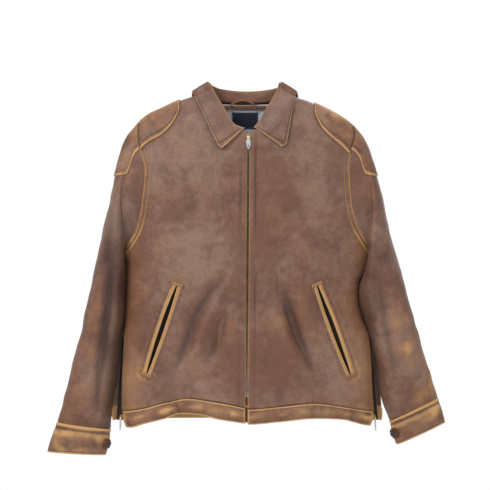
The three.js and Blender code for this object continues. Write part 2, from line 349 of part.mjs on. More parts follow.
// the sleeve wall, `off` millimetres inside the outer surface along its own normal
const sleeveWall = {};
for (const side of [-1, 1]) {
  const K = RINGS_R.length, P = [...Array(K).keys()].map((k) => [...Array(NR).keys()].map((n) => sleevePoint(side, k, n, 0)));
  const N = P.map((row, k) => row.map((p, n) => {
    const a = P[Math.min(K - 1, k + 1)][n].clone().sub(P[Math.max(0, k - 1)][n]), b = row[(n + 1) % NR].clone().sub(row[(n + NR - 1) % NR]);
    const c = a.cross(b).normalize(), r = P[k][n].clone().sub(P[k][(n + NR / 2) % NR]);
    return c.dot(r) > 0 ? c.negate() : c;
  }));
  sleeveWall[side] = (k, n, off) => P[k][n].clone().addScaledVector(N[k][n], off);
}
for (const side of [-1, 1]) {
  const who = side < 0 ? 'right' : 'left';
  const rings = side < 0 ? RINGS_R : RINGS_L, cuffRows = side < 0 ? CUFF_R : CUFF_L;
  const between = (k, n, off, t) => sleeveWall[side](k, n, off).lerp(sleeveWall[side](Math.min(k + 1, 10), n, off), t);
  const section = (list, o0, o1, m = 1) => tube(list.length, NR / m, (k, n) => between(list[k][0], n * m, o0, list[k][1]), (k, n) => between(list[k][0], n * m, o1, list[k][1]));
  part(`${who}_sleeve_upper`, section([[0, 0], [1, 0], [2, 0], [3, 0], [4, 0]], 0, LEATHER), leather());
  part(`${who}_sleeve_bend`, section([[4, 0.02], [5, 0], [5, 0.98]], 0, LEATHER), leather());
  part(`${who}_sleeve_lower`, section([[6, 0], [7, 0], [8, 0], [9, 0], [9, 0.995]], 0, LEATHER), leather());
  part(`${who}_sleeve_lining_upper`, section([[0, 0.05], [1, 0], [2, 0], [3, 0], [4, 0]], 3.0, 3.8), cloth());
  part(`${who}_sleeve_lining_lower`, section([[6, 0], [7, 0], [8, 0], [9, 0], [9, 0.97]], 3.4, 4.2, 2), cloth());
  part(`${who}_cuff`, tube(3, NR, (k, n) => ringPoint(cuffRows[k], n, -0.6), (k, n) => ringPoint(cuffRows[k], n, 2.2)), tan());
  // knotted leather button on the cuff's inner front edge
  const row = cuffRows[1], c = ringPoint(row, NR / 2 - 2, -0.6), c2 = ringPoint(row, NR / 2 - 1, -0.6), mid = c.clone().lerp(c2, 0.5);
  const t = c2.clone().sub(c).normalize(), up = V(rings[9][0] - cuffRows[2][0], 0, rings[9][1] - cuffRows[2][1]).normalize();
  const nrm = t.clone().cross(up).normalize(); if (nrm.y > 0) nrm.negate();
  const upx = nrm.clone().cross(t).normalize();
  const prof = [[0, 1.2], [2, 1.2], [2, 2.6], [8.5, 2.8], [11, 5.6], [8.6, 8.6], [4, 10], [0, 10.4]].map(([r, h]) => new THREE.Vector2(r, h));
  const knob = new THREE.LatheGeometry(prof, 10);
  part(`${who}_cuff_button`, moved(knob, basis(mid, t, nrm, t.clone().cross(nrm))), knot());
  // patch over the sleeve head, from the armhole out to the seam across the upper arm
  const edge = [0.04, 1, 1.5, 1.85], half = 3;
  const patchAt = (i, j, o) => { const n = j - half, k = Math.min(2.62 - 0.0 * i, [0.06, 1, 2, 2.62][i]); const nn = (n + NR) % NR, kk = Math.floor(k); return between(kk, nn, o, k - kk); };
  part(`${who}_sleeve_patch`, sheet(4, 2 * half + 1, (i, j) => patchAt(i, j, -2.6), (i, j) => patchAt(i, j, -1.2)), tan());
  // patch over the shoulder, from the collar side out to the armhole
  const PX = [136, 139, 146, 158, 176, 194, 213], PV = [-1, -0.8, -0.55, -0.3, -0.12, 0, 0.12, 0.3, 0.55, 0.8, 1];
  const patch = (i, j, o) => { const v = PV[j], x = side * PX[i], drop = table(PATCH_DROP, PX[i]) * v * v; const z = ridge(x) - drop, xe = Math.abs(armX(side, z)) - 1.6, q = (v < 0 ? front : rear)(side * lerp(136, xe, (PX[i] - 136) / 77), z, -o); if (v === 0) q.y = 0; return q; };
  part(`${who}_shoulder_patch`, sheet(PX.length, PV.length, (i, j) => patch(i, j, 3.0), (i, j) => patch(i, j, 1.6)), tan());
}

// ---------------------------------------------------------------- front zip
const zp = (z, dx = 0, dy = 0) => V(cfX(z) + dx, cfY(z) + dy, z);
const X = V(1, 0, 0), Y = V(0, 1, 0);
for (const [who, sgn] of [['right', -1], ['left', 1]])
  part(`${who}_front_zip_teeth`, bar(zp(ZIP_TOP_Z), zp(ZIP_END_Z), X, Y, sgn * 0.8, sgn * 3.1, 1.0, 4.0), brass());
part('front_zip_bottom_stop', bar(zp(ZIP_END_Z - 0.5), zp(ZIP_END_Z - 6), X, Y, -3.3, 3.3, 0.6, 4.3), brass());
const down = zp(ZIP_END_Z).sub(zp(ZIP_TOP_Z)).normalize(), out = X.clone().cross(down).normalize(); // out points to -Y
if (out.y > 0) out.negate();
const sz = zp(SLIDER_Z), sb = (a0, a1, b0, b1, l0, l1) => bar(sz.clone().addScaledVector(down, l0), sz.clone().addScaledVector(down, l1), X, out, a0, a1, b0, b1);
const pivot = sz.clone().addScaledVector(out, 3.4).addScaledVector(down, 1);
const cyl = (r, len, seg, p, dir) => { const g = new THREE.CylinderGeometry(r, r, len, seg); const q = new THREE.Quaternion().setFromUnitVectors(V(0, 1, 0), dir); g.applyQuaternion(q); g.translate(p.x, p.y, p.z); return g; };
part('front_zip_slider', join(sb(-4.5, 4.5, -0.5, 1.2, -6, 6), sb(-4.5, 4.5, -5.9, -4.4, -6, 6), sb(-0.4, 0.4, -5, 0, -5.6, -2), sb(-4.2, -2.9, 0.6, 4.4, -0.6, 2.6), sb(2.9, 4.2, 0.6, 4.4, -0.6, 2.6), cyl(0.8, 6.4, 12, pivot, X)), brass());
const flat = (outline, holeR, hx, hy, thick) => { const s = new THREE.Shape(outline.map(([a, b]) => new THREE.Vector2(a, b))); if (holeR) s.holes.push(new THREE.Path([...Array(10).keys()].map((i) => new THREE.Vector2(hx + holeR * Math.cos(i * Math.PI / 5), hy + holeR * Math.sin(i * Math.PI / 5))))); return new THREE.ExtrudeGeometry(s, { depth: thick, bevelEnabled: false, curveSegments: 6 }); };
// pull: a barrel on the slider's pin and a pointed blade below it
const blade = flat([[-2.3, -1.4], [2.3, -1.4], [4.8, -9], [4.2, -17], [0, -24], [-4.2, -17], [-4.8, -9]], 1.5, 0, -17, 1.4);
blade.translate(0, 0, -0.7);
const pullM = basis(pivot, X, down.clone().negate(), out);
part('front_zip_pull', cut(join(moved(blade, pullM), cyl(2.0, 4.6, 14, pivot, X)), cyl(1.1, 12, 14, pivot, X)), steel());

// ---------------------------------------------------------------- side vents with zips
for (const side of [-1, 1]) {
  const who = side < 0 ? 'right' : 'left';
  const zt = SIDE_ZIP_TOP, zb = SIDE_ZIP_END + 2;
  const A = (z) => V(table(side < 0 ? SIDE_R : SIDE_L, z) - side * lerp(2.9, 6.5, (z - zt) / (zb - zt)), lerp(-2.6, -7.2, (z - zt) / (zb - zt)), z), B = (z) => V(table(side < 0 ? BACK_R : BACK_L, z) - side * 7, 4.4, z);
  const a0 = A(zt), a1 = A(zb), b0 = B(zt), b1 = B(zb); const across = b1.clone().sub(a1).normalize();
  b0.copy(a0).addScaledVector(across, 6);
  const runDown = a1.clone().lerp(b1, 0.5).sub(a0.clone().lerp(b0, 0.5)).normalize();
  const outN = across.clone().cross(runDown).normalize(); if (outN.x * side < 0) outN.negate();
  part(`${who}_side_zip_tape`, sheet(2, 2, (i, j) => [[a0, b0], [a1, b1]][i][j].clone(), (i, j) => [[a0, b0], [a1, b1]][i][j].clone().addScaledVector(outN, -0.8)), black());
  const m0 = a0.clone().lerp(b0, 0.5).addScaledVector(outN, 0.4), m1 = a1.clone().lerp(b1, 0.5).addScaledVector(outN, 0.4);
  const w = runDown.clone().cross(outN).normalize();
  part(`${who}_side_zip_teeth`, bar(m0, m1, w, outN, -1.7, 1.7, 0, 1.8), brass());
  const at = m1.clone().sub(m0), s0 = m0.clone().addScaledVector(runDown, (zt - SIDE_SLIDER_Z) / -runDown.z);
  const blk = (p0, p1, q0, q1, l0, l1) => bar(s0.clone().addScaledVector(runDown, l0), s0.clone().addScaledVector(runDown, l1), w, outN, p0, p1, q0, q1);
  const piv = s0.clone().addScaledVector(outN, 5.8).addScaledVector(runDown, 2);
  part(`${who}_side_zip_slider`, join(blk(-3.6, 3.6, 2.2, 3.6, -5, 5), blk(-3.6, -2.1, 0.3, 2.4, -5, 5), blk(2.1, 3.6, 0.3, 2.4, -5, 5), blk(-3.2, -2.2, 3, 6.9, 0.8, 3.2), blk(2.2, 3.2, 3, 6.9, 0.8, 3.2), cyl(0.7, 5.4, 10, piv, w)), brass());
  const tab = flat([[-1.6, -1.2], [1.6, -1.2], [1.8, -8], [1.8, -22], [1.0, -25], [-1.0, -25], [-1.8, -22], [-1.8, -8]], 0.8, 0, -21, 1.2);
  tab.translate(0, 0, -0.6);
  const wm = w.clone(), upv = runDown.clone().negate(), o3 = wm.clone().cross(upv);
  part(`${who}_side_zip_pull`, cut(join(moved(tab, basis(piv, wm, upv, o3)), cyl(1.8, 3.4, 12, piv, w)), cyl(0.95, 9, 12, piv, w)), steel());
}

export default jacket;
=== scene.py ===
"""Leather riding jacket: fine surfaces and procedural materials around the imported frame."""
import bpy, math
import numpy as np
from mathutils import Vector, Matrix


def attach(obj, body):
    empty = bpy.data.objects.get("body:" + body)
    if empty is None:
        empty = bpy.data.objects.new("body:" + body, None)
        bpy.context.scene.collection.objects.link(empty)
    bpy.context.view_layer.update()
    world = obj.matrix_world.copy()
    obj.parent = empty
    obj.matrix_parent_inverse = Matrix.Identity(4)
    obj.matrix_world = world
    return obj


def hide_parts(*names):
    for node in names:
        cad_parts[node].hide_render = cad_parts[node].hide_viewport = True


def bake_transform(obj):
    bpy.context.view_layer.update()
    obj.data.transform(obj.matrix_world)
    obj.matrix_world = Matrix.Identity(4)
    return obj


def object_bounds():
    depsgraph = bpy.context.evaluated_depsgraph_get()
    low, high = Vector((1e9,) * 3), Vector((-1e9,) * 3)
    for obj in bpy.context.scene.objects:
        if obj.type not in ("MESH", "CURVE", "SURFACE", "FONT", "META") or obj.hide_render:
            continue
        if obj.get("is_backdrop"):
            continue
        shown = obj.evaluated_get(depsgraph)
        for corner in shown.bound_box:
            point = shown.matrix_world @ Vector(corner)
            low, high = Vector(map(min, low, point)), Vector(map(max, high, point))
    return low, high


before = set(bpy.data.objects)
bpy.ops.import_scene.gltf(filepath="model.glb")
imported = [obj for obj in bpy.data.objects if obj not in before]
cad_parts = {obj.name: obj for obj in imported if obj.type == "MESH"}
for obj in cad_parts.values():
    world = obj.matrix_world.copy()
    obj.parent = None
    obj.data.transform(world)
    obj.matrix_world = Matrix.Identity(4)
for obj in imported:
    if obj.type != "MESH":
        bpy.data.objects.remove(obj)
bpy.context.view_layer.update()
RNG = np.random.RandomState(7)

# ------------------------------------------------------------------ camera, light, floor
cam_data = bpy.data.cameras.new("camera")
cam_data.sensor_width = 36.0
cam_data.lens = 36.0 * 4.2 / 0.980
cam = bpy.data.objects.new("camera", cam_data)
cam.location = (-0.004, -4.25, -0.286)
cam.rotation_euler = (math.radians(90), 0, 0)
bpy.context.collection.objects.link(cam)
bpy.context.scene.camera = cam
bpy.context.scene.view_settings.view_transform = "Standard"


def area(name, loc, target, size, power, color=(1, 1, 1)):
    d = bpy.data.lights.new(name, "AREA")
    d.energy, d.size, d.color = power, size, color
    d.shape = "SQUARE"
    o = bpy.data.objects.new(name, d)
    o.location = loc
    v = Vector(target) - Vector(loc)
    o.rotation_euler = v.to_track_quat("-Z", "Y").to_euler()
    bpy.context.collection.objects.link(o)


area("key", (-1.5, -2.2, 1.5), (0, 0, -0.25), 1.0, 46)
area("fill", (1.9, -2.4, 0.3), (0, 0, -0.35), 1.8, 10)
area("top", (0.0, 0.1, 2.2), (0, 0, -0.2), 1.6, 12)
area("back", (0.6, 2.8, 0.9), (0, 0, -0.3), 2.0, 26)
world = bpy.data.worlds.new("studio")
world.use_nodes = True
wt = world.node_tree
bg = wt.nodes["Background"]
bg.inputs[0].default_value = (1.0, 1.0, 1.0, 1)
bg.inputs[1].default_value = 0.58
bg2 = wt.nodes.new("ShaderNodeBackground")
bg2.inputs[0].default_value = (1.0, 1.0, 1.0, 1)
bg2.inputs[1].default_value = 1.02
lp_, mx_ = wt.nodes.new("ShaderNodeLightPath"), wt.nodes.new("ShaderNodeMixShader")
wt.links.new(lp_.outputs["Is Camera Ray"], mx_.inputs[0])
wt.links.new(bg.outputs[0], mx_.inputs[1])
wt.links.new(bg2.outputs[0], mx_.inputs[2])
wt.links.new(mx_.outputs[0], wt.nodes["World Output"].inputs[0])
bpy.context.scene.world = world

# ------------------------------------------------------------------ tables shared with the CAD model (mm)
LEATHER, LINING, GAP, SHOULDER_R, SIDE_POWER, HEM_FLAT_Z = 1.6, 0.8, 0.4, 50.0, 3.0, -641.0
CF = dict(x0=3.0, z0=-64.0, x1=-1.0, z1=-608.0)
RIDGE = [[-262, -120], [-240, -64], [-215, -37], [-195, -22], [-169, -10], [-136, 6], [-111, 14], [-86, 24], [0, 60],
         [86, 20], [101, 13], [124, 5], [153, -8], [182, -23], [212, -44], [240, -80], [262, -130]]
SIDE_R = [[60, -240], [-100, -250], [-270, -252], [-300, -252], [-320, -247], [-360, -246], [-396, -247], [-492, -250], [-581, -253], [-622, -251], [-655, -244]]
SIDE_L = [[60, 240], [-100, 250], [-270, 254], [-300, 254], [-337, 243], [-362, 228], [-393, 226], [-426, 233], [-456, 243], [-500, 250], [-603, 254], [-625, 255], [-655, 248]]
BACK_R = [[60, -240], [-100, -250], [-270, -252], [-300, -252], [-320, -247], [-360, -246], [-396, -247], [-440, -249], [-467, -252], [-542, -262], [-600, -269], [-627, -273], [-650, -270]]
BACK_L = [[60, 240], [-100, 250], [-270, 254], [-300, 254], [-337, 243], [-362, 228], [-393, 226], [-426, 234], [-450, 243], [-474, 250], [-523, 262], [-587, 271], [-635, 273], [-650, 270]]
DEPTH_F = [[80, 35], [40, 38], [22, 42], [0, 47], [-28, 53], [-55, 57.7], [-660, 79.3]]
DEPTH_B = [[80, 36], [22, 42], [0, 48], [-50, 54], [-120, 58], [-300, 62], [-660, 66]]
ARM_R = [[-215, -37], [-217, -62], [-213, -94], [-204, -128], [-204, -160], [-207, -190], [-212, -221], [-219, -247], [-232, -272], [-245, -291], [-252, -300]]
ARM_L = [[212, -44], [214, -66], [206, -92], [203, -124], [204, -158], [206, -188], [211, -219], [221, -247], [235, -271], [247, -290], [254, -300]]
NECK_R = [[-2, -58], [-34, -50], [-60, -28], [-78, 0], [-86, 24]]
NECK_L = [[8, -58], [30, -50], [54, -28], [76, 0], [86, 20]]
NECKB = [[-86, 24], [-72, 9], [-46, 2], [0, 0], [46, 2], [72, 8], [86, 20]]
HEM_SEAM = [[-275, -622], [-245, -620], [-208, -614], [-162, -601], [-116, -592], [-70, -598], [-6, -610], [4, -613], [66, -608], [135, -602], [193, -610], [255, -621], [275, -623]]
HEM_EDGE = [[-275, -652], [-243, -653], [-208, -644], [-162, -632], [-130, -622], [-93, -624], [-57, -633], [-6, -641], [4, -643], [66, -638], [135, -632], [193, -635], [216, -641], [248, -649], [275, -652]]
POCKET_R, POCKET_L, SLIT, WELT_W = [[-141, -370], [-200, -540]], [[142, -370], [206, -541]], 6.5, 8.0
RINGS_CAD_R = [None, [-241, -68, -258, -308, 44, 0], [-259, -116, -258, -318, 52, 0], [-270, -166, -257, -330, 58, 0], [-284, -226, -256, -347, 62, 1],
           [-300, -300, -254, -374, 62, 2], [-318, -380, -253, -413, 60, 3], [-335, -456, -255, -470, 53, 4],
           [-353, -522, -265, -532, 46, 5], [-370, -592, -275, -600, 38, 6], [-384, -644, -277, -658, 28, 7]]
RINGS_CAD_L = [None, [236, -72, 259, -308, 44, 0], [254, -114, 259, -318, 52, 0], [268, -166, 257, -330, 58, 0], [281, -226, 253, -347, 62, 1],
           [300, -300, 248, -374, 62, 2], [321, -378, 247, -413, 60, 3], [344, -452, 254, -470, 53, 4],
           [357, -502, 267, -530, 46, 5], [372, -552, 277, -592, 38, 6], [386, -595, 289, -641, 28, 7]]
INNER_R = {1: -249, 2: -244.8, 3: -243.6, 4: -242.6, 5: -242.4, 6: -243.4, 7: -249.0, 8: -258.5, 9: -269.5}
INNER_L = {1: 251, 2: 245.6, 3: 240.4, 4: 232.4, 5: 223.4, 6: 225.4, 7: 245, 8: 261.4, 9: 272}
RINGS_R = [None if r is None else r[:2] + [INNER_R.get(k, r[2])] + r[3:] for k, r in enumerate(RINGS_CAD_R)]
RINGS_L = [None if r is None else r[:2] + [INNER_L.get(k, r[2])] + r[3:] for k, r in enumerate(RINGS_CAD_L)]
CUFF_R = [[-387, -648, -276, -662, 27, 7], [-395, -676, -281, -687, 25, 7], [-404, -705, -287, -711, 22, 7]]
CUFF_L = [[387, -598, 290, -645, 27, 7], [394, -621, 296, -667, 25, 7], [401, -645, 304, -690, 22, 7]]
PATCH_DROP = [[134, 4], [137, 22], [142, 33], [154, 47], [178, 56], [203, 57], [218, 58]]
BASE = [[-8, -55.5, -56], [-33, -54.5, -48], [-57, -48, -25], [-74, -38, 3], [-82, 0, 27], [-70, 34, 12], [-45, 43.5, 4.5], [0, 45.5, 2.5], [45, 43.5, 4.5], [70, 33, 11], [82, 0, 23.5], [72, -38, 2], [51, -48, -26], [29, -54.5, -48], [12, -55.5, -56]]
FOLD = [[-5, -63, -52], [-27, -59, -42], [-50, -47, -7], [-68, -30, 22], [-80, 0, 45], [-74, 24, 40], [-50, 42, 32], [0, 49, 28], [50, 42, 32], [72, 24, 40], [70, 0, 45], [63, -30, 24], [44, -47, -6], [24, -59, -38], [14, -63, -50]]
EDGE_R = [[-50, -93], [-57, -88], [-74, -52], [-90, -18], [-103, 9], [-111, 26]]
EDGE_L = [[70, -90], [79, -84], [85, -50], [91, -16], [97, 10], [101, 26]]


# ------------------------------------------------------------------ maths
def pchip(xs, ys, q):
    """monotone cubic through the rows; q may be an array, ys may be columns"""
    xs, ys, q = np.asarray(xs, float), np.asarray(ys, float), np.asarray(q, float)
    if xs[0] > xs[-1]:
        xs, ys = xs[::-1], ys[::-1]
    h = np.diff(xs)
    flat = ys.ndim == 1
    Y = ys[:, None] if flat else ys
    d = np.diff(Y, axis=0) / h[:, None]
    m = np.zeros_like(Y)
    m[0], m[-1] = d[0], d[-1]
    if len(xs) > 2:
        w1, w2 = (2 * h[1:] + h[:-1])[:, None], (h[1:] + 2 * h[:-1])[:, None]
        with np.errstate(divide="ignore", invalid="ignore"):
            hm = (w1 + w2) / (w1 / d[:-1] + w2 / d[1:])
        m[1:-1] = np.where(d[:-1] * d[1:] > 0, hm, 0)
    shape = q.shape
    qq = np.clip(q.ravel(), xs[0], xs[-1])
    i = np.clip(np.searchsorted(xs, qq, side="right") - 1, 0, len(xs) - 2)
    t = ((qq - xs[i]) / h[i])[:, None]
    hh = h[i][:, None]
    r = (2 * t**3 - 3 * t**2 + 1) * Y[i] + (t**3 - 2 * t**2 + t) * hh * m[i] + (-2 * t**3 + 3 * t**2) * Y[i + 1] + (t**3 - t**2) * hh * m[i + 1]
    return r.reshape(shape) if flat else r.reshape(shape + (Y.shape[1],))


def T(rows, q):
    a = np.array(rows, float)
    return pchip(a[:, 0], a[:, 1], q)


def catmull(P, q):
    """smooth curve through points P (n, d) at parameter q in 0..n-1"""
    P = np.asarray(P, float)
    q = np.asarray(q, float)
    n = len(P)
    i = np.clip(np.floor(q).astype(int), 0, n - 2)
    t = (q - i).reshape(q.shape + (1,) * (P.ndim - 1))
    g = lambda k: P[np.clip(k, 0, n - 1)]
    a, b, c, d = g(i - 1), g(i), g(i + 1), g(i + 2)
    return 0.5 * (2 * b + (c - a) * t + (2 * a - 5 * b + 4 * c - d) * t**2 + (-a + 3 * b - 3 * c + d) * t**3)


def sm(t, a=0.0, b=1.0):
    t = np.clip((np.asarray(t, float) - a) / (b - a), 0, 1)
    return t * t * (3 - 2 * t)


def mix(a, b, t):
    return a + (b - a) * t


def along(P, n, smooth=True):
    """n points evenly spaced along the polyline P"""
    P = np.asarray(P, float)
    if smooth:
        P = catmull(P, np.linspace(0, len(P) - 1, 24 * len(P)))
    s = np.concatenate([[0], np.cumsum(np.linalg.norm(np.diff(P, axis=0), axis=1))])
    q = np.linspace(0, s[-1], n) if np.isscalar(n) else np.asarray(n) * s[-1]
    return np.stack([np.interp(q, s, P[:, k]) for k in range(P.shape[1])], -1)


def dist(x, z, P):
    """distance from points to a polyline in x,z, and how far along it (0..1)"""
    P = np.asarray(P, float)
    best = np.full(np.shape(x), 1e9)
    at = np.zeros(np.shape(x))
    seg = np.linalg.norm(np.diff(P, axis=0), axis=1)
    tot, run = seg.sum(), 0.0
    for a, b, l in zip(P[:-1], P[1:], seg):
        t = np.clip(((x - a[0]) * (b[0] - a[0]) + (z - a[1]) * (b[1] - a[1])) / max(l * l, 1e-9), 0, 1)
        d = np.hypot(x - a[0] - t * (b[0] - a[0]), z - a[1] - t * (b[1] - a[1]))
        w = d < best
        best = np.where(w, d, best)
        at = np.where(w, (run + t * l) / tot, at)
        run += l
    return best, at


def waves(x, z, seed, scale, n=10):
    """smooth fixed noise, about -1..1"""
    r = np.random.RandomState(seed)
    out = np.zeros(np.broadcast(x, z).shape)
    for _ in range(n):
        a = r.uniform(0, 2 * math.pi)
        f = r.uniform(0.5, 1.6) / scale
        out = out + np.sin(2 * math.pi * f * (x * math.cos(a) + z * math.sin(a)) + r.uniform(0, 6.28))
    return out / math.sqrt(n) * 0.8


cfx = lambda z: mix(CF["x0"], CF["x1"], (CF["z0"] - z) / (CF["z0"] - CF["z1"]))
ARMS = {-1: catmull(ARM_R, np.linspace(0, 10, 120)), 1: catmull(ARM_L, np.linspace(0, 10, 120))}
PATCHLINE = {s: np.array([[s * x, float(T(RIDGE, s * x)) - float(T(PATCH_DROP, x))] for x in (136, 137, 142, 148, 154, 165, 178, 190, 203, 212)]) for s in (-1, 1)}

# folds on the fronts: points, depth (mm, minus is a valley), width
FOLDS = {
    -1: [([(-29, -328), (-62, -368), (-93, -408), (-112, -452), (-130, -500), (-152, -560)], -6.6, 10),
         ([(-34, -392), (-48, -440), (-64, -490), (-95, -528)], -4.6, 11),
         ([(-52, -398), (-78, -440), (-96, -492), (-116, -545)], 4.5, 11),
         ([(-24, -250), (-52, -262), (-84, -258), (-110, -270)], -1.4, 8), ([(-30, -290), (-58, -282), (-80, -290)], 1.3, 6),
         ([(-36, -300), (-44, -270), (-40, -236)], 1.2, 7), ([(-60, -330), (-72, -292), (-66, -250)], -1.4, 9),
         ([(-20, -360), (-26, -430), (-40, -520)], 2.5, 12),
         ([(-236, -300), (-205, -260), (-176, -214)], -2.2, 16),
         ([(-110, -560), (-80, -575), (-52, -560)], 2.2, 9),
         ([(-150, -120), (-120, -200), (-105, -290)], -1.6, 30),
         ([(-180, -420), (-160, -360), (-150, -300)], 1.8, 22)],
    1: [([(27, -345), (44, -392), (66, -450), (86, -500), (96, -560)], 5.0, 12),
        ([(73, -345), (80, -392), (98, -452), (120, -510), (137, -560)], -7.5, 10),
        ([(48, -330), (60, -380), (84, -440), (100, -500)], -2.8, 10),
        ([(30, -420), (48, -480), (60, -540)], -2.0, 10), ([(64, -560), (70, -590), (66, -604)], 1.6, 5),
        ([(56, -330), (52, -380), (60, -430)], -2.2, 12),
        ([(108, -352), (120, -430), (140, -500)], 2.6, 14),
        ([(236, -300), (206, -262), (180, -220)], -2.2, 16),
        ([(176, -400), (168, -330), (160, -270)], -2.0, 24),
        ([(24, -262), (60, -270), (100, -262)], 1.0, 7),
        ([(20, -300), (50, -306), (84, -300)], 1.0, 7)]}
FOLDS_B = [([(-180, -120), (-150, -260), (-120, -420)], -3.0, 30), ([(180, -130), (150, -270), (130, -430)], -3.0, 30),
           ([(-60, -300), (-40, -450), (-70, -600)], -4.0, 26), ([(50, -330), (80, -470), (60, -600)], 3.5, 26),
           ([(0, -160), (10, -330), (-10, -560)], -2.0, 30), ([(-236, -300), (-190, -330), (-140, -340)], -2.5, 16), ([(236, -300), (190, -330), (140, -345)], -2.5, 16)]


def fold_sum(x, z, folds):
    out = np.zeros(np.broadcast(x, z).shape)
    for P, a, w in folds:
        d, t = dist(x, z, along(P, 14))
        win = np.sin(math.pi * np.clip(t, 0.02, 0.98)) ** 0.6 * np.exp(-np.where((t <= 0) | (t >= 1), (d / (w * 1.2)) ** 2, 0))
        out = out + a * win * (np.exp(-(d / w) ** 2) - 0.35 * np.exp(-((d - 2.1 * w) / w) ** 2))
    return out


def drape(x, z, back):
    """how far the leather stands out from the plain body surface, mm"""
    x, z = np.broadcast_arrays(np.asarray(x, float), np.asarray(z, float))
    if back:
        d = fold_sum(x, z, FOLDS_B) + 1.6 * waves(x, z, 31, 230) + 0.35 * waves(x, z * 0.6, 12, 42)
        d = d * sm(-z, -30, 60)
        hem = np.exp(-((z + 605) / 22.0) ** 2)
        return d + 0.7 * hem * waves(x, z * 0.2, 5, 40)
    d = np.where(x < cfx(z), fold_sum(x, z, FOLDS[-1]), fold_sum(x, z, FOLDS[1]))
    d = d + 1.3 * waves(x, z, 3, 210) + 0.32 * waves(x, z * 0.55, 9, 36) + 0.14 * waves(x, z * 0.6, 14, 15)
    q = np.abs(x - cfx(z))
    d = d * sm(q, 10, 46) * sm(ridge_gap(x, z), 2, 40)
    # placket beside the zip: rolled edge, stitched groove
    zt = sm(-z, 52, 70)
    d = d + zt * (0.9 * np.exp(-((q - 8.5) / 3.2) ** 2) - 0.9 * np.exp(-((q - 14.6) / 1.3) ** 2) + 0.7 * np.exp(-((q - 19) / 3.0) ** 2))
    d = d + 0.35 * np.exp(-((q - 22) / 12) ** 2) * np.sin(z / 3.7 + 1.7 * np.sin(z / 31))
    # seam along the armhole: doubled edge and topstitch
    for s in (-1, 1):
        a, t = dist(x, z, ARMS[s])
        on = sm(-z, 60, 90)
        d = d + on * (0.9 * np.exp(-((a - 2.6) / 1.8) ** 2) - 0.7 * np.exp(-((a - 5.4) / 1.2) ** 2) + 0.8 * np.exp(-((a - 8.4) / 1.8) ** 2) - 0.6 * np.exp(-((a - 11.4) / 1.2) ** 2))
    # hem seam: gathered leather above the band
    h = z - T(HEM_SEAM, x)
    d = d + np.exp(-((h - 10) / 14.0) ** 2) * 0.8 * waves(x, h * 0.3, 21, 34) - 0.8 * np.exp(-((h - 1.0) / 1.6) ** 2) + 0.6 * np.exp(-((h - 5) / 3) ** 2)
    # the pocket: leather swells slightly beside the welts
    for P in (POCKET_R, POCKET_L):
        p, t = dist(x, z, P)
        d = d - 1.0 * np.exp(-((p - 15.5) / 1.4) ** 2) + 0.9 * np.exp(-((p - 21) / 5) ** 2)
    return d


def ridge_gap(x, z):
    return np.maximum(0, T(RIDGE, x) - z)


def body(x, z, off, back=False, d=None):
    x, z = np.broadcast_arrays(np.asarray(x, float), np.asarray(z, float))
    off = np.asarray(off, float)
    side = np.where(x < 0, T(BACK_R if back else SIDE_R, z), T(BACK_L if back else SIDE_L, z))
    hw = np.abs(side)
    u = np.minimum(1, np.abs(x) / hw)
    g = ridge_gap(x, z)
    if d is None:
        d = drape(x, z, back)
    o = off - d
    D = T(DEPTH_B if back else DEPTH_F, z)
    op = sm(-z, 440, 470)
    edge = GAP / 2 + (5 if back else 10) * op * u ** 6
    k = 1 - np.clip(g / SHOULDER_R, 0, 1)
    rf = np.sqrt(np.maximum(0, 1 - k * k))
    full = np.sqrt(np.maximum(0, 1 - u ** SIDE_POWER))
    y = edge + (D - o) * rf * full
    X = x * (1 - np.where(u > 0.6, mix(off, o, 1 - sm(u, 0.9, 1.0)), o) / hw * np.minimum(1, u * 1.0))
    Z = z - off * np.maximum(0, 1 - g / SHOULDER_R)
    return np.stack([X, y if back else -y, Z], -1)


# ------------------------------------------------------------------ mesh building
MATS = {}


def make(name, verts, faces, mat, attrs=None, smooth=True):
    me = bpy.data.meshes.new(name)
    me.from_pydata([tuple(v) for v in np.asarray(verts) / 1000.0], [], [tuple(f) for f in faces])
    me.update()
    for k, a in (attrs or {}).items():
        at = me.attributes.new(k, "FLOAT", "POINT")
        at.data.foreach_set("value", np.asarray(a, np.float32))
    for p in me.polygons:
        p.use_smooth = smooth
    o = bpy.data.objects.new(name, me)
    bpy.context.collection.objects.link(o)
    me.materials.append(MATS[mat])
    return o


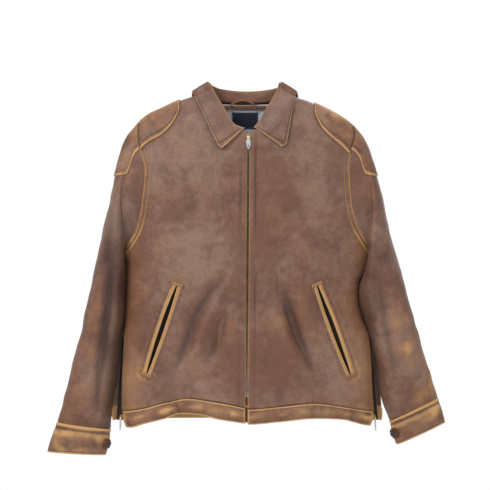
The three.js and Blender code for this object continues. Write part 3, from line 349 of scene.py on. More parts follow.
def shell(outer, inner, keep=None, wrap=False):
    """closed skin from two grids (nu, nv, 3); keep masks the cells; wrap joins the last column to the first"""
    nu, nv = outer.shape[:2]
    cells_v = nv if wrap else nv - 1
    if keep is None:
        keep = np.ones((nu - 1, cells_v), bool)
    N = nu * nv
    i, j = np.nonzero(keep)
    j1 = (j + 1) % nv
    a, b, c, d = i * nv + j, (i + 1) * nv + j, (i + 1) * nv + j1, i * nv + j1
    V = np.concatenate([outer.reshape(-1, 3), inner.reshape(-1, 3)])
    # orientation: outward is from inner to outer
    m = len(a) // 2
    n = np.cross(V[b] - V[a], V[d] - V[a])
    w = V[a] - V[a + N]
    flip = (n * w).sum() < 0
    F = [np.stack([a, d, c, b], 1), np.stack([a + N, b + N, c + N, d + N], 1)]
    pad = np.zeros((nu + 1, cells_v + (0 if wrap else 2)), bool)
    if wrap:
        pad[1:-1, :] = keep
        left, right = np.roll(keep, 1, 1), np.roll(keep, -1, 1)
    else:
        pad[1:-1, 1:-1] = keep
        left, right = pad[1:-1, :-2], pad[1:-1, 2:]
    core = slice(None) if wrap else slice(1, -1)
    up, dn = pad[:-2, core], pad[2:, core]
    for nb, (p, q) in ((up, (a, d)), (dn, (c, b)), (left, (b, a)), (right, (d, c))):
        e = ~nb[i, j]
        F.append(np.stack([p[e], q[e], q[e] + N, p[e] + N], 1)[:, ::-1])
    F = np.concatenate(F)
    # every face so far winds for one side; check with the first family
    if not flip:
        F = F[:, ::-1]
    used = np.unique(F)
    remap = -np.ones(2 * N, int)
    remap[used] = np.arange(len(used))
    return V[used], remap[F], used


def sheet_obj(name, outer, inner, mat, attrs=None, keep=None, wrap=False, inner_attrs=None):
    V, F, used = shell(outer, inner, keep, wrap)
    A = {}
    for k, a in (attrs or {}).items():
        ia = (inner_attrs or {}).get(k, np.full(a.shape, 0.25))
        A[k] = np.concatenate([np.broadcast_to(a, outer.shape[:2]).ravel(), np.broadcast_to(ia, outer.shape[:2]).ravel()])[used]
    return make(name, V, F, mat, A)


def tube_obj(name, P, r, mat, n=8, closed=False, attrs=None, squash=None):
    """round bar along points P with closed ends"""
    V, F = tube_data(P, r, n, closed)
    A = {k: np.full(len(V), v) for k, v in (attrs or {}).items()}
    return make(name, V, F, mat, A)


def tube_data(P, r, n=8, closed=False):
    P = np.asarray(P, float)
    t = np.gradient(P, axis=0)
    if closed:
        t = np.roll(P, -1, 0) - np.roll(P, 1, 0)
    t /= np.linalg.norm(t, axis=1)[:, None] + 1e-12
    ref = np.array([0, 1.0, 0]) if abs(t[0][1]) < 0.9 else np.array([1.0, 0, 0])
    nrm = []
    v = ref - t[0] * (ref @ t[0])
    v /= np.linalg.norm(v)
    for k in range(len(P)):
        v = v - t[k] * (v @ t[k])
        v /= np.linalg.norm(v) + 1e-12
        nrm.append(v)
    nrm = np.array(nrm)
    bi = np.cross(t, nrm)
    ang = np.linspace(0, 2 * math.pi, n, endpoint=False)
    rr = np.broadcast_to(np.asarray(r, float), (len(P),))
    V = P[:, None] + rr[:, None, None] * (np.cos(ang)[None, :, None] * nrm[:, None] + np.sin(ang)[None, :, None] * bi[:, None])
    K = len(P)
    F = []
    for k in range(K if closed else K - 1):
        for m in range(n):
            a, b, c, d = k * n + m, k * n + (m + 1) % n, ((k + 1) % K) * n + (m + 1) % n, ((k + 1) % K) * n + m
            F.append((a, b, c, d))
    V = V.reshape(-1, 3)
    if not closed:
        V = np.concatenate([V, P[:1] - t[:1] * rr[0] * 0.5, P[-1:] + t[-1:] * rr[-1] * 0.5])
        for m in range(n):
            F.append((len(V) - 2, (m + 1) % n, m))
            F.append((len(V) - 1, (K - 1) * n + m, (K - 1) * n + (m + 1) % n))
    return V, F


def merge(parts):
    V, F, o = [], [], 0
    for v, f in parts:
        V.append(np.asarray(v))
        F += [tuple(k + o for k in g) for g in f]
        o += len(v)
    return np.concatenate(V), F


def normals(G, wrap=False):
    """unit normals of a grid (nu, nv, 3)"""
    du = np.gradient(G, axis=0)
    if wrap:
        dv = (np.roll(G, -1, 1) - np.roll(G, 1, 1)) / 2
    else:
        dv = np.gradient(G, axis=1)
    n = np.cross(du, dv)
    return n / (np.linalg.norm(n, axis=-1, keepdims=True) + 1e-12)


# ------------------------------------------------------------------ materials
def lin(r, g, b):
    f = lambda c: ((c / 255) / 12.92) if c / 255 <= 0.04045 else ((c / 255 + 0.055) / 1.055) ** 2.4
    return (f(r), f(g), f(b), 1.0)


class Nodes:
    def __init__(self, name):
        self.m = bpy.data.materials.new(name)
        self.m.use_nodes = True
        self.t = self.m.node_tree
        self.t.nodes.clear()
        self.out = self.t.nodes.new("ShaderNodeOutputMaterial")
        self.p = self.t.nodes.new("ShaderNodeBsdfPrincipled")
        self.t.links.new(self.p.outputs[0], self.out.inputs[0])
        self.co = self.t.nodes.new("ShaderNodeTexCoord")

    def link(self, a, b):
        self.t.links.new(a, b)

    def mapping(self, scale=(1, 1, 1), rot=(0, 0, 0)):
        n = self.t.nodes.new("ShaderNodeMapping")
        n.inputs["Scale"].default_value = scale
        n.inputs["Rotation"].default_value = rot
        self.link(self.co.outputs["Object"], n.inputs["Vector"])
        return n.outputs[0]

    def noise(self, scale, detail=3, rough=0.5, vec=None, dist=0.0):
        n = self.t.nodes.new("ShaderNodeTexNoise")
        n.inputs["Scale"].default_value = scale
        n.inputs["Detail"].default_value = detail
        n.inputs["Roughness"].default_value = rough
        n.inputs["Distortion"].default_value = dist
        self.link(vec or self.co.outputs["Object"], n.inputs["Vector"])
        return n.outputs["Fac"]

    def voronoi(self, scale, vec=None, feature="F1"):
        n = self.t.nodes.new("ShaderNodeTexVoronoi")
        n.feature = feature
        n.inputs["Scale"].default_value = scale
        self.link(vec or self.co.outputs["Object"], n.inputs["Vector"])
        return n.outputs["Distance"]

    def attr(self, name):
        n = self.t.nodes.new("ShaderNodeAttribute")
        n.attribute_name = name
        return n.outputs["Fac"]

    def math(self, op, a, b=None, clamp=False):
        n = self.t.nodes.new("ShaderNodeMath")
        n.operation = op
        n.use_clamp = clamp
        for i, v in enumerate((a, b)):
            if v is None:
                continue
            if isinstance(v, (int, float)):
                n.inputs[i].default_value = v
            else:
                self.link(v, n.inputs[i])
        return n.outputs[0]

    def ramp(self, fac, a, b):
        n = self.t.nodes.new("ShaderNodeMapRange")
        n.interpolation_type = "SMOOTHSTEP"
        n.inputs["From Min"].default_value = a
        n.inputs["From Max"].default_value = b
        self.link(fac, n.inputs["Value"])
        return n.outputs[0]

    def mix(self, a, b, fac):
        n = self.t.nodes.new("ShaderNodeMix")
        n.data_type = "RGBA"
        for k, v in (("A", a), ("B", b)):
            s = [x for x in n.inputs if x.name == k and x.type == "RGBA"][0]
            if isinstance(v, tuple):
                s.default_value = v
            else:
                self.link(v, s)
        if isinstance(fac, (int, float)):
            n.inputs["Factor"].default_value = fac
        else:
            self.link(fac, n.inputs["Factor"])
        return [x for x in n.outputs if x.type == "RGBA"][0]

    def bump(self, height, strength, distance, normal=None):
        n = self.t.nodes.new("ShaderNodeBump")
        n.inputs["Strength"].default_value = strength
        n.inputs["Distance"].default_value = distance
        self.link(height, n.inputs["Height"])
        if normal is not None:
            self.link(normal, n.inputs["Normal"])
        return n.outputs[0]

    def set(self, **k):
        for a, v in k.items():
            self.p.inputs[a.replace("_", " ")].default_value = v


BROWN, PINK, DARK, TANC, TAN2 = lin(114, 74, 56), lin(142, 110, 93), lin(44, 28, 23), lin(200, 154, 100), lin(152, 107, 70)


def leather(name, base_wear=0.0, mottle=0.55, rough=0.5, dark=0.0, scale=1.0, brown=BROWN, pink=PINK):
    N = Nodes(name)
    big = N.noise(5.0 * scale, 3, 0.55)
    mid = N.noise(19 * scale, 4, 0.6, dist=0.6)
    fine = N.noise(70, 3, 0.6)
    streakv = N.mapping((1.0, 1.0, 0.42))
    streak = N.noise(560, 3, 0.65, vec=streakv)
    # One attribute carries rubbed, lighter leather together with painted light (lightened body sides, fold crests) and
    # mixes towards tan. The other carries dark seam lines together with painted shade (fold valleys, under the collar
    # leaves, the sleeves' inner half) and mixes towards DARK.
    wear_and_painted_light, dk = N.attr("wear_and_painted_light"), N.attr("dark")
    base = N.mix(brown, pink, N.ramp(N.math("ADD", N.math("MULTIPLY", big, 0.72), N.math("MULTIPLY", fine, 0.28)), 0.40, 0.62))
    base = N.mix(base, TAN2, N.math("MULTIPLY", N.ramp(mid, 0.50, 0.78), 0.42))
    base = N.mix(base, lin(92, 50, 38), N.math("MULTIPLY", N.ramp(N.noise(7.5 * scale, 2, 0.5, dist=0.8), 0.50, 0.72), 0.55))
    gr = N.noise(760, 3, 0.7)
    base = N.mix(base, lin(168, 138, 118), N.math("MULTIPLY", N.ramp(gr, 0.54, 0.78), 0.42))
    base = N.mix(base, DARK, N.math("MULTIPLY", N.ramp(gr, 0.46, 0.24), 0.45))
    base = N.mix(base, DARK, N.math("MULTIPLY", N.ramp(N.math("SUBTRACT", 1.0, mid), 0.50, 0.78), 0.35 + dark))
    base = N.mix(base, DARK, N.math("MULTIPLY", N.ramp(streak, 0.50, 0.28), 0.42))
    w = N.math("ADD", N.math("MULTIPLY", wear_and_painted_light, 1.25), N.math("ADD", base_wear - 0.5 * mottle, N.math("MULTIPLY", N.math("ADD", N.math("MULTIPLY", mid, 0.7), N.math("MULTIPLY", fine, 0.3)), mottle)))
    wm = N.ramp(w, 0.18, 0.92)
    tan = N.mix(TAN2, TANC, N.ramp(w, 0.45, 1.0))
    col = N.mix(base, tan, wm)
    col = N.mix(col, DARK, N.math("MULTIPLY", dk, N.math("ADD", 0.72, N.math("MULTIPLY", fine, 0.3)), clamp=True))
    N.link(col, N.p.inputs["Base Color"])
    pv = N.mapping((1.0, 1.0, 0.62))
    peb = N.voronoi(430, vec=pv)
    peb2 = N.noise(620, 2, 0.6, vec=pv)
    h = N.math("ADD", N.math("MULTIPLY", peb, 0.8), N.math("ADD", N.math("MULTIPLY", peb2, 0.5), N.math("MULTIPLY", streak, 0.9)))
    b = N.bump(h, 0.55, 0.0009)
    b = N.bump(N.noise(95, 3, 0.6), 0.22, 0.0022, b)
    b = N.bump(mid, 0.25, 0.003, b)
    N.link(b, N.p.inputs["Normal"])
    r = N.math("ADD", rough - 0.12, N.math("ADD", N.math("MULTIPLY", fine, 0.2), N.math("MULTIPLY", wm, 0.12)))
    N.link(r, N.p.inputs["Roughness"])
    N.set(Specular_IOR_Level=0.45, Sheen_Weight=0.04, Sheen_Roughness=0.5, Sheen_Tint=(0.95, 0.86, 0.8, 1))
    MATS[name] = N.m


leather("leather_body", 0.0, 0.5, 0.48)
leather("leather_patch", 0.43, 0.95, 0.52, dark=0.15, scale=1.8)
leather("leather_band", 0.46, 0.9, 0.52, dark=0.25, scale=2.2)
leather("leather_cuff", 0.38, 0.9, 0.52, dark=0.2, scale=2.0)
leather("leather_sleeve", 0.06, 0.7, 0.48, dark=0.12, scale=1.3)
leather("leather_welt", 0.56, 0.5, 0.55, scale=2.5)
leather("leather_edge", 0.55, 0.6, 0.58, scale=3.5)
leather("leather_collar", 0.06, 0.6, 0.46, brown=lin(108, 72, 58), pink=lin(138, 104, 90))
# the inside leather is the body leather painted a little lighter, as painted light that lifts the shade inside the
# collar stand and facings
leather("leather_inside", 0.05, 0.5, 0.6, dark=0.1, brown=lin(122, 80, 62), pink=lin(146, 106, 86))


def fabric(name, color, color2, scale=900, rough=0.85, bump=0.3, sheen=0.2):
    N = Nodes(name)
    v = N.mapping((1, 1, 1))
    wv = []
    for rot in ((0, 0, 0), (0, math.radians(90), 0)):
        w = N.t.nodes.new("ShaderNodeTexWave")
        w.wave_type, w.bands_direction, w.wave_profile = "BANDS", "X", "SIN"
        w.inputs["Scale"].default_value = scale / 6.28
        w.inputs["Distortion"].default_value = 0.6
        w.inputs["Detail"].default_value = 1
        N.link(N.mapping((1, 1, 1), rot), w.inputs["Vector"])
        wv.append(w.outputs["Fac"])
    weave = N.math("MULTIPLY", wv[0], wv[1])
    n = N.noise(14, 3, 0.5)
    c = N.mix(color, color2, N.math("ADD", N.math("MULTIPLY", weave, 0.35), N.math("MULTIPLY", n, 0.6), clamp=True))
    N.link(c, N.p.inputs["Base Color"])
    N.link(N.bump(weave, bump, 0.0004), N.p.inputs["Normal"])
    N.link(N.math("ADD", rough - 0.08, N.math("MULTIPLY", n, 0.16)), N.p.inputs["Roughness"])
    N.set(Sheen_Weight=sheen, Sheen_Roughness=0.4)
    MATS[name] = N.m


fabric("lining", lin(196, 209, 221), lin(216, 226, 234))
# near-black pocket cloth: painted shade for the inside of the pocket slits
fabric("pocketing", lin(36, 26, 22), lin(54, 40, 33), scale=1200, sheen=0.05)
fabric("label", lin(20, 26, 44), lin(34, 42, 62), scale=1500, sheen=0.05)
fabric("label_border", lin(120, 126, 140), lin(150, 156, 168), scale=1500, sheen=0.05)
fabric("zip_tape", lin(20, 17, 16), lin(38, 32, 29), scale=1300, sheen=0.05)
fabric("thread_dark", lin(52, 34, 26), lin(78, 52, 38), scale=2500)
fabric("thread_tan", lin(150, 112, 76), lin(178, 138, 96), scale=2500)


def metal(name, color, color2, rough, metallic=1.0):
    N = Nodes(name)
    n = N.noise(220, 4, 0.6)
    g = N.noise(30, 3, 0.6)
    N.link(N.mix(color, color2, N.ramp(g, 0.4, 0.7)), N.p.inputs["Base Color"])
    N.link(N.math("ADD", rough, N.math("MULTIPLY", n, 0.18)), N.p.inputs["Roughness"])
    N.link(N.bump(n, 0.15, 0.0002), N.p.inputs["Normal"])
    N.set(Metallic=metallic)
    MATS[name] = N.m


metal("brass", lin(196, 160, 96), lin(140, 108, 62), 0.28)
metal("brass_aged", lin(104, 82, 50), lin(66, 50, 32), 0.4)
metal("steel", lin(226, 226, 224), lin(190, 190, 190), 0.22)
leather("button_leather", -0.4, 0.3, 0.42, brown=lin(58, 32, 24), pink=lin(84, 50, 36))


# ------------------------------------------------------------------ torso
def front_plan(side, inner, ns, nt, z_bottom=None):
    arm = ARMS[side]
    st = np.array([[float(T(SIDE_R if side < 0 else SIDE_L, z)), z] for z in np.linspace(-304, -619, 60)])
    right = np.concatenate([arm, st])
    z0 = -58.0 if inner < 10 else float(T(NECK_R if side < 0 else NECK_L, cfx(-58) + side * inner)) - 0.5
    neck = [p for p in (NECK_R if side < 0 else NECK_L) if abs(p[0] - cfx(-60)) > max(inner, 3)]
    rid = [r for r in RIDGE if 90 < abs(r[0]) < 211 and r[0] * side > 0]
    rid.sort(key=lambda r: abs(r[0]))
    top_pts = [[cfx(z0) + side * inner, z0]] + neck + rid + [arm[0].tolist()]
    l = np.linspace(0, 1, ns)
    S = 1 - (1 - l) ** 1.3
    S = 0.5 * S + 0.5 * l
    lt = np.linspace(0, 1, nt)
    Tt = lt ** 1.12
    # neck part and ridge part meet at a corner, so the top stays straight between its points
    top = along(np.array(top_pts), S, smooth=False)
    rt = along(right, Tt, smooth=False)
    xb0 = cfx(-610) + side * inner
    zb = lambda x: T(HEM_SEAM, x) + 0.2
    L0 = mix(z0, float(zb(xb0)), Tt)
    left = np.stack([cfx(L0) + side * inner, L0], -1)
    xb = mix(xb0, right[-1][0], S)
    bottom = np.stack([xb, zb(xb)], -1)
    rt[-1] = bottom[-1]
    s, t = S[:, None, None], Tt[None, :, None]
    a, b, c, d = top[:, None], bottom[:, None], left[None], rt[None]
    return (1 - t) * a + t * b + (1 - s) * c + s * d - ((1 - s) * (1 - t) * a[:1] + s * (1 - t) * a[-1:] + (1 - s) * t * b[:1] + s * t * b[-1:]), S, Tt


def body_attrs(x, z, back=False):
    wear_and_painted_light = np.zeros(x.shape)
    dark = np.zeros(x.shape)
    d = drape(x, z, back)
    if not back:
        q = np.abs(x - cfx(z))
        zt = sm(-z, 50, 70)
        wear_and_painted_light += zt * (1.0 * np.exp(-((q - 3.2) / 1.4) ** 2) + 0.26 * np.exp(-((q - 17.5) / 1.6) ** 2) + 0.12 * np.exp(-((q - 26) / 12) ** 2) * sm(-z, 350, 600))
        dark += zt * 0.75 * np.exp(-((q - 14.2) / 1.4) ** 2)
        for P in (POCKET_R, POCKET_L):
            p, t = dist(x, z, P)
            wear_and_painted_light += 0.09 * np.exp(-((p - 18.5) / 3) ** 2) + 0.13 * np.exp(-(p / 60) ** 2)
            dark += 0.35 * np.exp(-((p - 15.3) / 1.2) ** 2) + 0.35 * np.exp(-((p - 11.6) / 1.2) ** 2)
            for e in P:
                wear_and_painted_light += 0.22 * np.exp(-(((x - e[0]) ** 2 + (z - e[1]) ** 2) / 300))
        h = z - T(HEM_SEAM, x)
        dark += 0.7 * np.exp(-((h - 1.5) / 1.8) ** 2)
        wear_and_painted_light += 0.14 * np.exp(-((h - 7) / 5) ** 2)
        # painted shade darkens the fold valleys; the fold crests are lightened, partly rubbing wear and partly painted
        # highlight
        val = np.where(x < cfx(z), fold_sum(x, z, FOLDS[-1]), fold_sum(x, z, FOLDS[1]))
        dark += 0.66 * sm(-val, 1.4, 7.0)
        wear_and_painted_light += 0.22 * sm(val, 0.6, 3.4)
        # painted light: the body sides turn away from the lamps and lie in the sleeves' shadow, so they are lightened
        # towards tan; the strip at the side edge over the vents is rubbed edge wear
        u = np.abs(x) / np.abs(np.where(x < 0, T(SIDE_R, z), T(SIDE_L, z)))
        wear_and_painted_light += 0.36 * sm(u, 0.66, 0.96) * sm(-z, 180, 320) + 0.4 * sm(u, 0.985, 1.0) * sm(-z, 440, 470)
        wear_and_painted_light += 0.22 * np.exp(-(((x + 130) / 60) ** 2 + ((z + 5) / 30) ** 2)) + 0.18 * np.exp(-(((x - 130) / 60) ** 2 + ((z + 5) / 30) ** 2))
        dark += 0.35 * np.exp(-((ridge_gap(x, z) - 2) / 3) ** 2) * sm(np.abs(x), 100, 120)
        # painted shade on the body along the lower edge of the shoulder patches, where the piped edge stands over it
        for s, P in PATCHLINE.items():
            p, t = dist(x, z, P)
            dark += 0.5 * np.exp(-(p / 5.0) ** 2)
        # shade under the collar leaves
        for E in (EDGE_R, EDGE_L):
            p, t = dist(x, z, E)
            dark += 0.35 * np.exp(-(p / 10.0) ** 2)
    for s in (-1, 1):
        a, t = dist(x, z, ARMS[s])
        on = sm(-z, 70, 100)
        wear_and_painted_light += on * (0.42 * np.exp(-((a - 2.5) / 1.5) ** 2) + 0.50 * np.exp(-((a - 8.2) / 1.6) ** 2) + 0.10 * np.exp(-((a - 12) / 16) ** 2))
        dark += on * (0.42 * np.exp(-((a - 5.3) / 1.4) ** 2) + 0.30 * np.exp(-((a - 11.3) / 1.3) ** 2))
    if back:
        h = z + 611
        dark += 0.6 * np.exp(-((h - 1.5) / 1.8) ** 2)
        wear_and_painted_light += 0.35 * np.exp(-((h - 7) / 5) ** 2) + 0.18 * np.exp(-((x / 90) ** 2 + ((z + 120) / 70) ** 2))
        # painted shade darkens the fold valleys; the fold crests are lightened, partly rubbing wear and partly painted
        # highlight
        val = fold_sum(x, z, FOLDS_B)
        dark += 0.25 * sm(-val, 0.8, 4.0)
        wear_and_painted_light += 0.14 * sm(val, 0.6, 3.0)
        u = np.abs(x) / np.abs(np.where(x < 0, T(BACK_R, z), T(BACK_L, z)))
        wear_and_painted_light += 0.85 * sm(u, 0.972, 0.992) * sm(-z, 450, 480) + 0.15 * sm(u, 0.75, 1)
    return {"wear_and_painted_light": np.clip(wear_and_painted_light, 0, 1), "dark": np.clip(dark, 0, 0.92)}


def slit_frame(P):
    a, b = np.array(P[0], float), np.array(P[1], float)
    L = np.linalg.norm(b - a)
    u = (b - a) / L
    return a, u, np.array([-u[1], u[0]]), L


for side, who in ((-1, "right"), (1, "left")):
    P = POCKET_R if side < 0 else POCKET_L
    plan, S, Tt = front_plan(side, 2.3, 66, 150)
    x, z = plan[..., 0], plan[..., 1]
    q = np.abs(x - cfx(z))
    roll = 0.9 * (1 - sm(q, 5.2, 8.5)) * sm(-z, 52, 60)
    d0 = drape(x, z, False)
    outer = body(x, z, roll, d=d0)
    inner = body(x, z, LEATHER + roll * 0.45, d=d0)
    outer[..., 1] = np.minimum(outer[..., 1], -0.2)
    inner[..., 1] = np.minimum(inner[..., 1], -0.2)
    a, u, n, L = slit_frame(P)
    mx, mz = (x[:-1, :-1] + x[1:, 1:]) / 2, (z[:-1, :-1] + z[1:, 1:]) / 2
    al, ac = (mx - a[0]) * u[0] + (mz - a[1]) * u[1], (mx - a[0]) * n[0] + (mz - a[1]) * n[1]
    keep = ~((np.abs(ac) < 7.0) & (al > -4) & (al < L + 4))
    o = sheet_obj(f"{who}_front", outer, inner, "leather_body", body_attrs(x, z), keep=keep, inner_attrs={"wear_and_painted_light": np.full(x.shape, 0.1), "dark": np.full(x.shape, 0.3)})
    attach(o, "torso"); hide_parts(f"{who}_front_panel")
    # pocket welts: rolled leather beside the slit, and stitched tabs at its ends
    nn = n if n[0] * side > 0 else -n
    for label, sg in (("outer", 1), ("inner", -1)):
        A, B = np.linspace(-4.5, L + 4.5, 70), np.linspace(0, 1, 11)
        aa, bb = np.meshgrid(A, B, indexing="ij")
        # the slit opens a little in its middle
        openness = (SLIT / 2) * (0.40 + 0.95 * np.sin(math.pi * np.clip(aa / L, 0, 1)) ** 0.8)
        ac = sg * (openness + bb * WELT_W)
        X, Z = a[0] + u[0] * aa + nn[0] * ac, a[1] + u[1] * aa + nn[1] * ac
        puff = np.sin(math.pi * bb) ** 0.55
        wob = 0.18 * np.sin(aa / 3.1 + 1.3 * np.sin(aa / 17))
        o_ = body(X, Z, 0.9 - (2.5 + wob) * puff)
        i_ = body(X, Z, 1.3 + 1.2 * puff)
        wr = np.clip(0.12 + 0.6 * np.exp(-((bb - 0.12) / 0.16) ** 2) + 0.45 * np.exp(-((bb - 0.9) / 0.14) ** 2), 0, 1)
        # the welt is darkened at its slit edge as painted shade from the opening, and at its outer edge along the seam
        o = sheet_obj(f"{who}_pocket_welt_{label}", o_, i_, "leather_welt", {"wear_and_painted_light": wr, "dark": 0.6 * np.exp(-(bb / 0.08) ** 2) + 0.5 * np.exp(-((bb - 1) / 0.1) ** 2)})
        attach(o, "torso"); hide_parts(f"{who}_pocket_{label}_welt")
    tabs = []
    for e in (-6.0, L + 6.0):
        bb, cc = np.meshgrid(np.linspace(-12, 12, 15), np.linspace(-3.6, 3.6, 7), indexing="ij")
        X, Z = a[0] + u[0] * (e + cc) + nn[0] * bb, a[1] + u[1] * (e + cc) + nn[1] * bb
        pf = (1 - (np.abs(bb) / 12) ** 4) * (1 - (np.abs(cc) / 3.6) ** 4)
        V, F, _ = shell(body(X, Z, -1.2 - 1.0 * pf), body(X, Z, 0.4 + 0.4 * pf))
        tabs.append((V, F))
    V, F = merge(tabs)
    o = make(f"{who}_pocket_tabs", V, F, "leather_welt", {"wear_and_painted_light": np.full(len(V), 0.08), "dark": np.full(len(V), 0.12)})
    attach(o, "torso")
    # pocket bag behind the slit, in near-black cloth painted as the shade inside the opening
    xs = lambda zz: P[0][0] + (zz - P[0][1]) * (P[1][0] - P[0][0]) / (P[1][1] - P[0][1])
    kk, zz = np.meshgrid(np.linspace(0, 1, 26), np.linspace(-366, -572, 34), indexing="ij")
    X = side * mix(80, np.abs(xs(zz)) + 13, kk)
    base = body(X, zz, 0, d=np.minimum(drape(X, zz, False), 0.0))
    e = np.minimum.reduce([kk / 0.08, (1 - kk) / 0.08, (-366 - zz) / 14, (zz + 572) / 14])
    pf = np.sqrt(np.clip(e, 0, 1))
    back_ = base.copy(); back_[..., 1] += 6.4 + 4.2 * pf
    back2 = back_.copy(); back2[..., 1] -= 0.9
    o = sheet_obj(f"{who}_pocket_pouch_back", back_, back2, "pocketing")
    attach(o, "torso"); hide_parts(f"{who}_pocket_bag")
    f_ = base.copy(); f_[..., 1] += 6.0 - 2.6 * pf
    f2 = f_.copy(); f2[..., 1] -= 0.7
    al, ac = (X[:-1, :-1] + X[1:, 1:]) / 2, (zz[:-1, :-1] + zz[1:, 1:]) / 2
    p_al, p_ac = (al - a[0]) * u[0] + (ac - a[1]) * u[1], (al - a[0]) * n[0] + (ac - a[1]) * n[1]
    o = sheet_obj(f"{who}_pocket_pouch_front", f2, f_, "pocketing", keep=~((np.abs(p_ac) < 7) & (p_al > 0) & (p_al < L)))
    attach(o, "torso")
    # lining of the front, hanging free behind the pocket
    plan, S, Tt = front_plan(side, 60, 30, 70)
    x, z = plan[..., 0], plan[..., 1]
    z2 = z + 14 * sm(-z, 560, 610)
    x = x * (1 - 0.07 * sm(-z, 400, 460) * sm(np.abs(x), 120, 230))
    lo = 4.6 + 4 * sm(z, -70, -10) + 14 * sm(-z, 260, 350)
    dd = 1.2 * waves(x, z * 0.5, 41, 90)
    o = sheet_obj(f"{who}_front_lining_cloth", body(x, z2, lo, d=dd * 0), body(x, z2, lo + LINING, d=dd * 0), "lining")
    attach(o, "torso"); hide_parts(f"{who}_front_lining")
    # facing behind the zip, tape
    neckT = NECK_R if side < 0 else NECK_L
    for nm, x0, x1, o0, o1, drop, zb_, mt, nd, sl in (("facing", 5.4, 60, 3.6, 4.8, 6, 4, "leather_inside", f"{who}_front_facing", "leather"),
                                                      ("zip_tape", 2.6, 16, 2.9, 3.5, 0, 0, "zip_tape", f"{who}_front_zip_tape", "zip_tape")):
        ii, jj = np.meshgrid(np.linspace(0, 1, 10 if nm == "facing" else 5), np.linspace(0, 1, 120), indexing="ij")
        k = side * mix(x0, x1, ii)
        if nm == "facing":
            zt_ = T(neckT, cfx(-60) + k) - drop
            zb2 = T(HEM_EDGE, cfx(-620) + k) + zb_
        else:
            zt_, zb2 = np.full(k.shape, -62.0), np.full(k.shape, -603.0)
        Z = mix(zt_, zb2, jj)
        X = cfx(Z) + k
        G0, G1 = body(X, Z, o0, d=np.zeros(X.shape)), body(X, Z, o1, d=np.zeros(X.shape))
        at = {"wear_and_painted_light": np.zeros(X.shape), "dark": np.full(X.shape, 0.15)}
        o = sheet_obj(f"{who}_front_{nm}_strip", G0, G1, mt, at)
        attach(o, "torso"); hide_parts(nd)
    # hem band of the front
    ss, vv = np.meshgrid(np.linspace(0, 1, 90), np.linspace(0, 1, 15), indexing="ij")
    ss = 0.5 * ss + 0.5 * (1 - (1 - ss) ** 1.4)
    hx0 = cfx(-630) + side * 2.4
    xe0 = T(SIDE_R if side < 0 else SIDE_L, -637.0)
    x_ = mix(hx0, xe0, ss)
    zt_, zb2 = T(HEM_SEAM, x_) - 0.2, T(HEM_EDGE, x_)
    Z = mix(zt_, zb2, vv)
    X = mix(hx0, T(SIDE_R if side < 0 else SIDE_L, Z), ss)
    dd = drape(X, np.maximum(Z, zt_ + 0), False) * 0 + fold_sum(X, Z, FOLDS[side]) * 0.4 + 0.5 * waves(X, Z * 0.3, 52, 30) * np.sin(math.pi * vv)
    dd = dd * sm(np.abs(X - cfx(Z)), 6, 40)
    prof = 0.4 + 1.3 * np.sin(math.pi * np.clip((vv - 0.13) / 0.74, 0, 1)) ** 0.5 - 0.9 * np.exp(-((vv - 0.11) / 0.035) ** 2) - 0.7 * np.exp(-((vv - 0.88) / 0.03) ** 2) + 0.5 * np.exp(-((vv - 0.97) / 0.03) ** 2)
    endr = 1.6 * (1 - sm(np.abs(X - cfx(Z)), 2, 7))
    G0 = body(X, Z, -prof + endr, d=dd)
    G1 = body(X, Z, 2.6 - 1.2 * np.exp(-((vv - 1) / 0.06) ** 2), d=dd)
    wr = 0.55 * np.exp(-((vv - 0.04) / 0.05) ** 2) + 0.8 * np.exp(-((vv - 1) / 0.06) ** 2) + 0.3 * np.exp(-((vv - 0.5) / 0.2) ** 2) * (0.5 + 0.5 * waves(X, Z, 8, 50)) + 0.6 * (1 - sm(np.abs(X - cfx(Z)), 2, 7)) + 0.5 * sm(ss, 0.96, 1.0)
    dk = 0.7 * np.exp(-((vv - 0.115) / 0.03) ** 2) + 0.45 * np.exp(-((vv - 0.88) / 0.03) ** 2) + 0.22 * np.exp(-((vv - 0.68) / 0.12) ** 2)
    o = sheet_obj(f"{who}_hem_band", G0, G1, "leather_band", {"wear_and_painted_light": np.clip(wr, 0, 1), "dark": np.clip(dk, 0, 1)}, inner_attrs={"wear_and_painted_light": np.full(X.shape, 0.3), "dark": np.full(X.shape, 0.2)})
    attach(o, "torso"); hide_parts(f"{who}_front_hem_band")

# back panel, band and lining
def neck_top(x):
    return np.where(np.abs(x) < 86, T(NECKB, x), T(RIDGE, x))


def back_plan(ns, nt, end):
    l = np.linspace(-1, 1, ns)
    S = np.sign(l) * (0.5 * np.abs(l) + 0.5 * (1 - (1 - np.abs(l)) ** 1.4))
    sideT = {s: np.array([[float(T(BACK_R if s < 0 else BACK_L, zz)), zz] for zz in np.linspace(-304, end, 60)]) for s in (-1, 1)}
    q = np.linspace(0, 1, nt) ** 1.1
    E = {s: along(np.concatenate([ARMS[s], sideT[s]]), q, smooth=False) for s in (-1, 1)}
    out = np.zeros((ns, nt, 2))
    for i, s in enumerate(S):
        e = E[-1 if s < 0 else 1]
        a = abs(s)
        x = e[:, 0] * a
        top = float(neck_top(np.array(e[0, 0] * a)))
        mid = mix(top, end, q)
        zz = mix(mid, e[:, 1], a ** 3)
        lim = neck_top(x) - 0.4 - 40 * q
        zz = np.minimum(zz, lim)
        zz[0] = top
        out[i, :, 0], out[i, :, 1] = x, zz
    return out


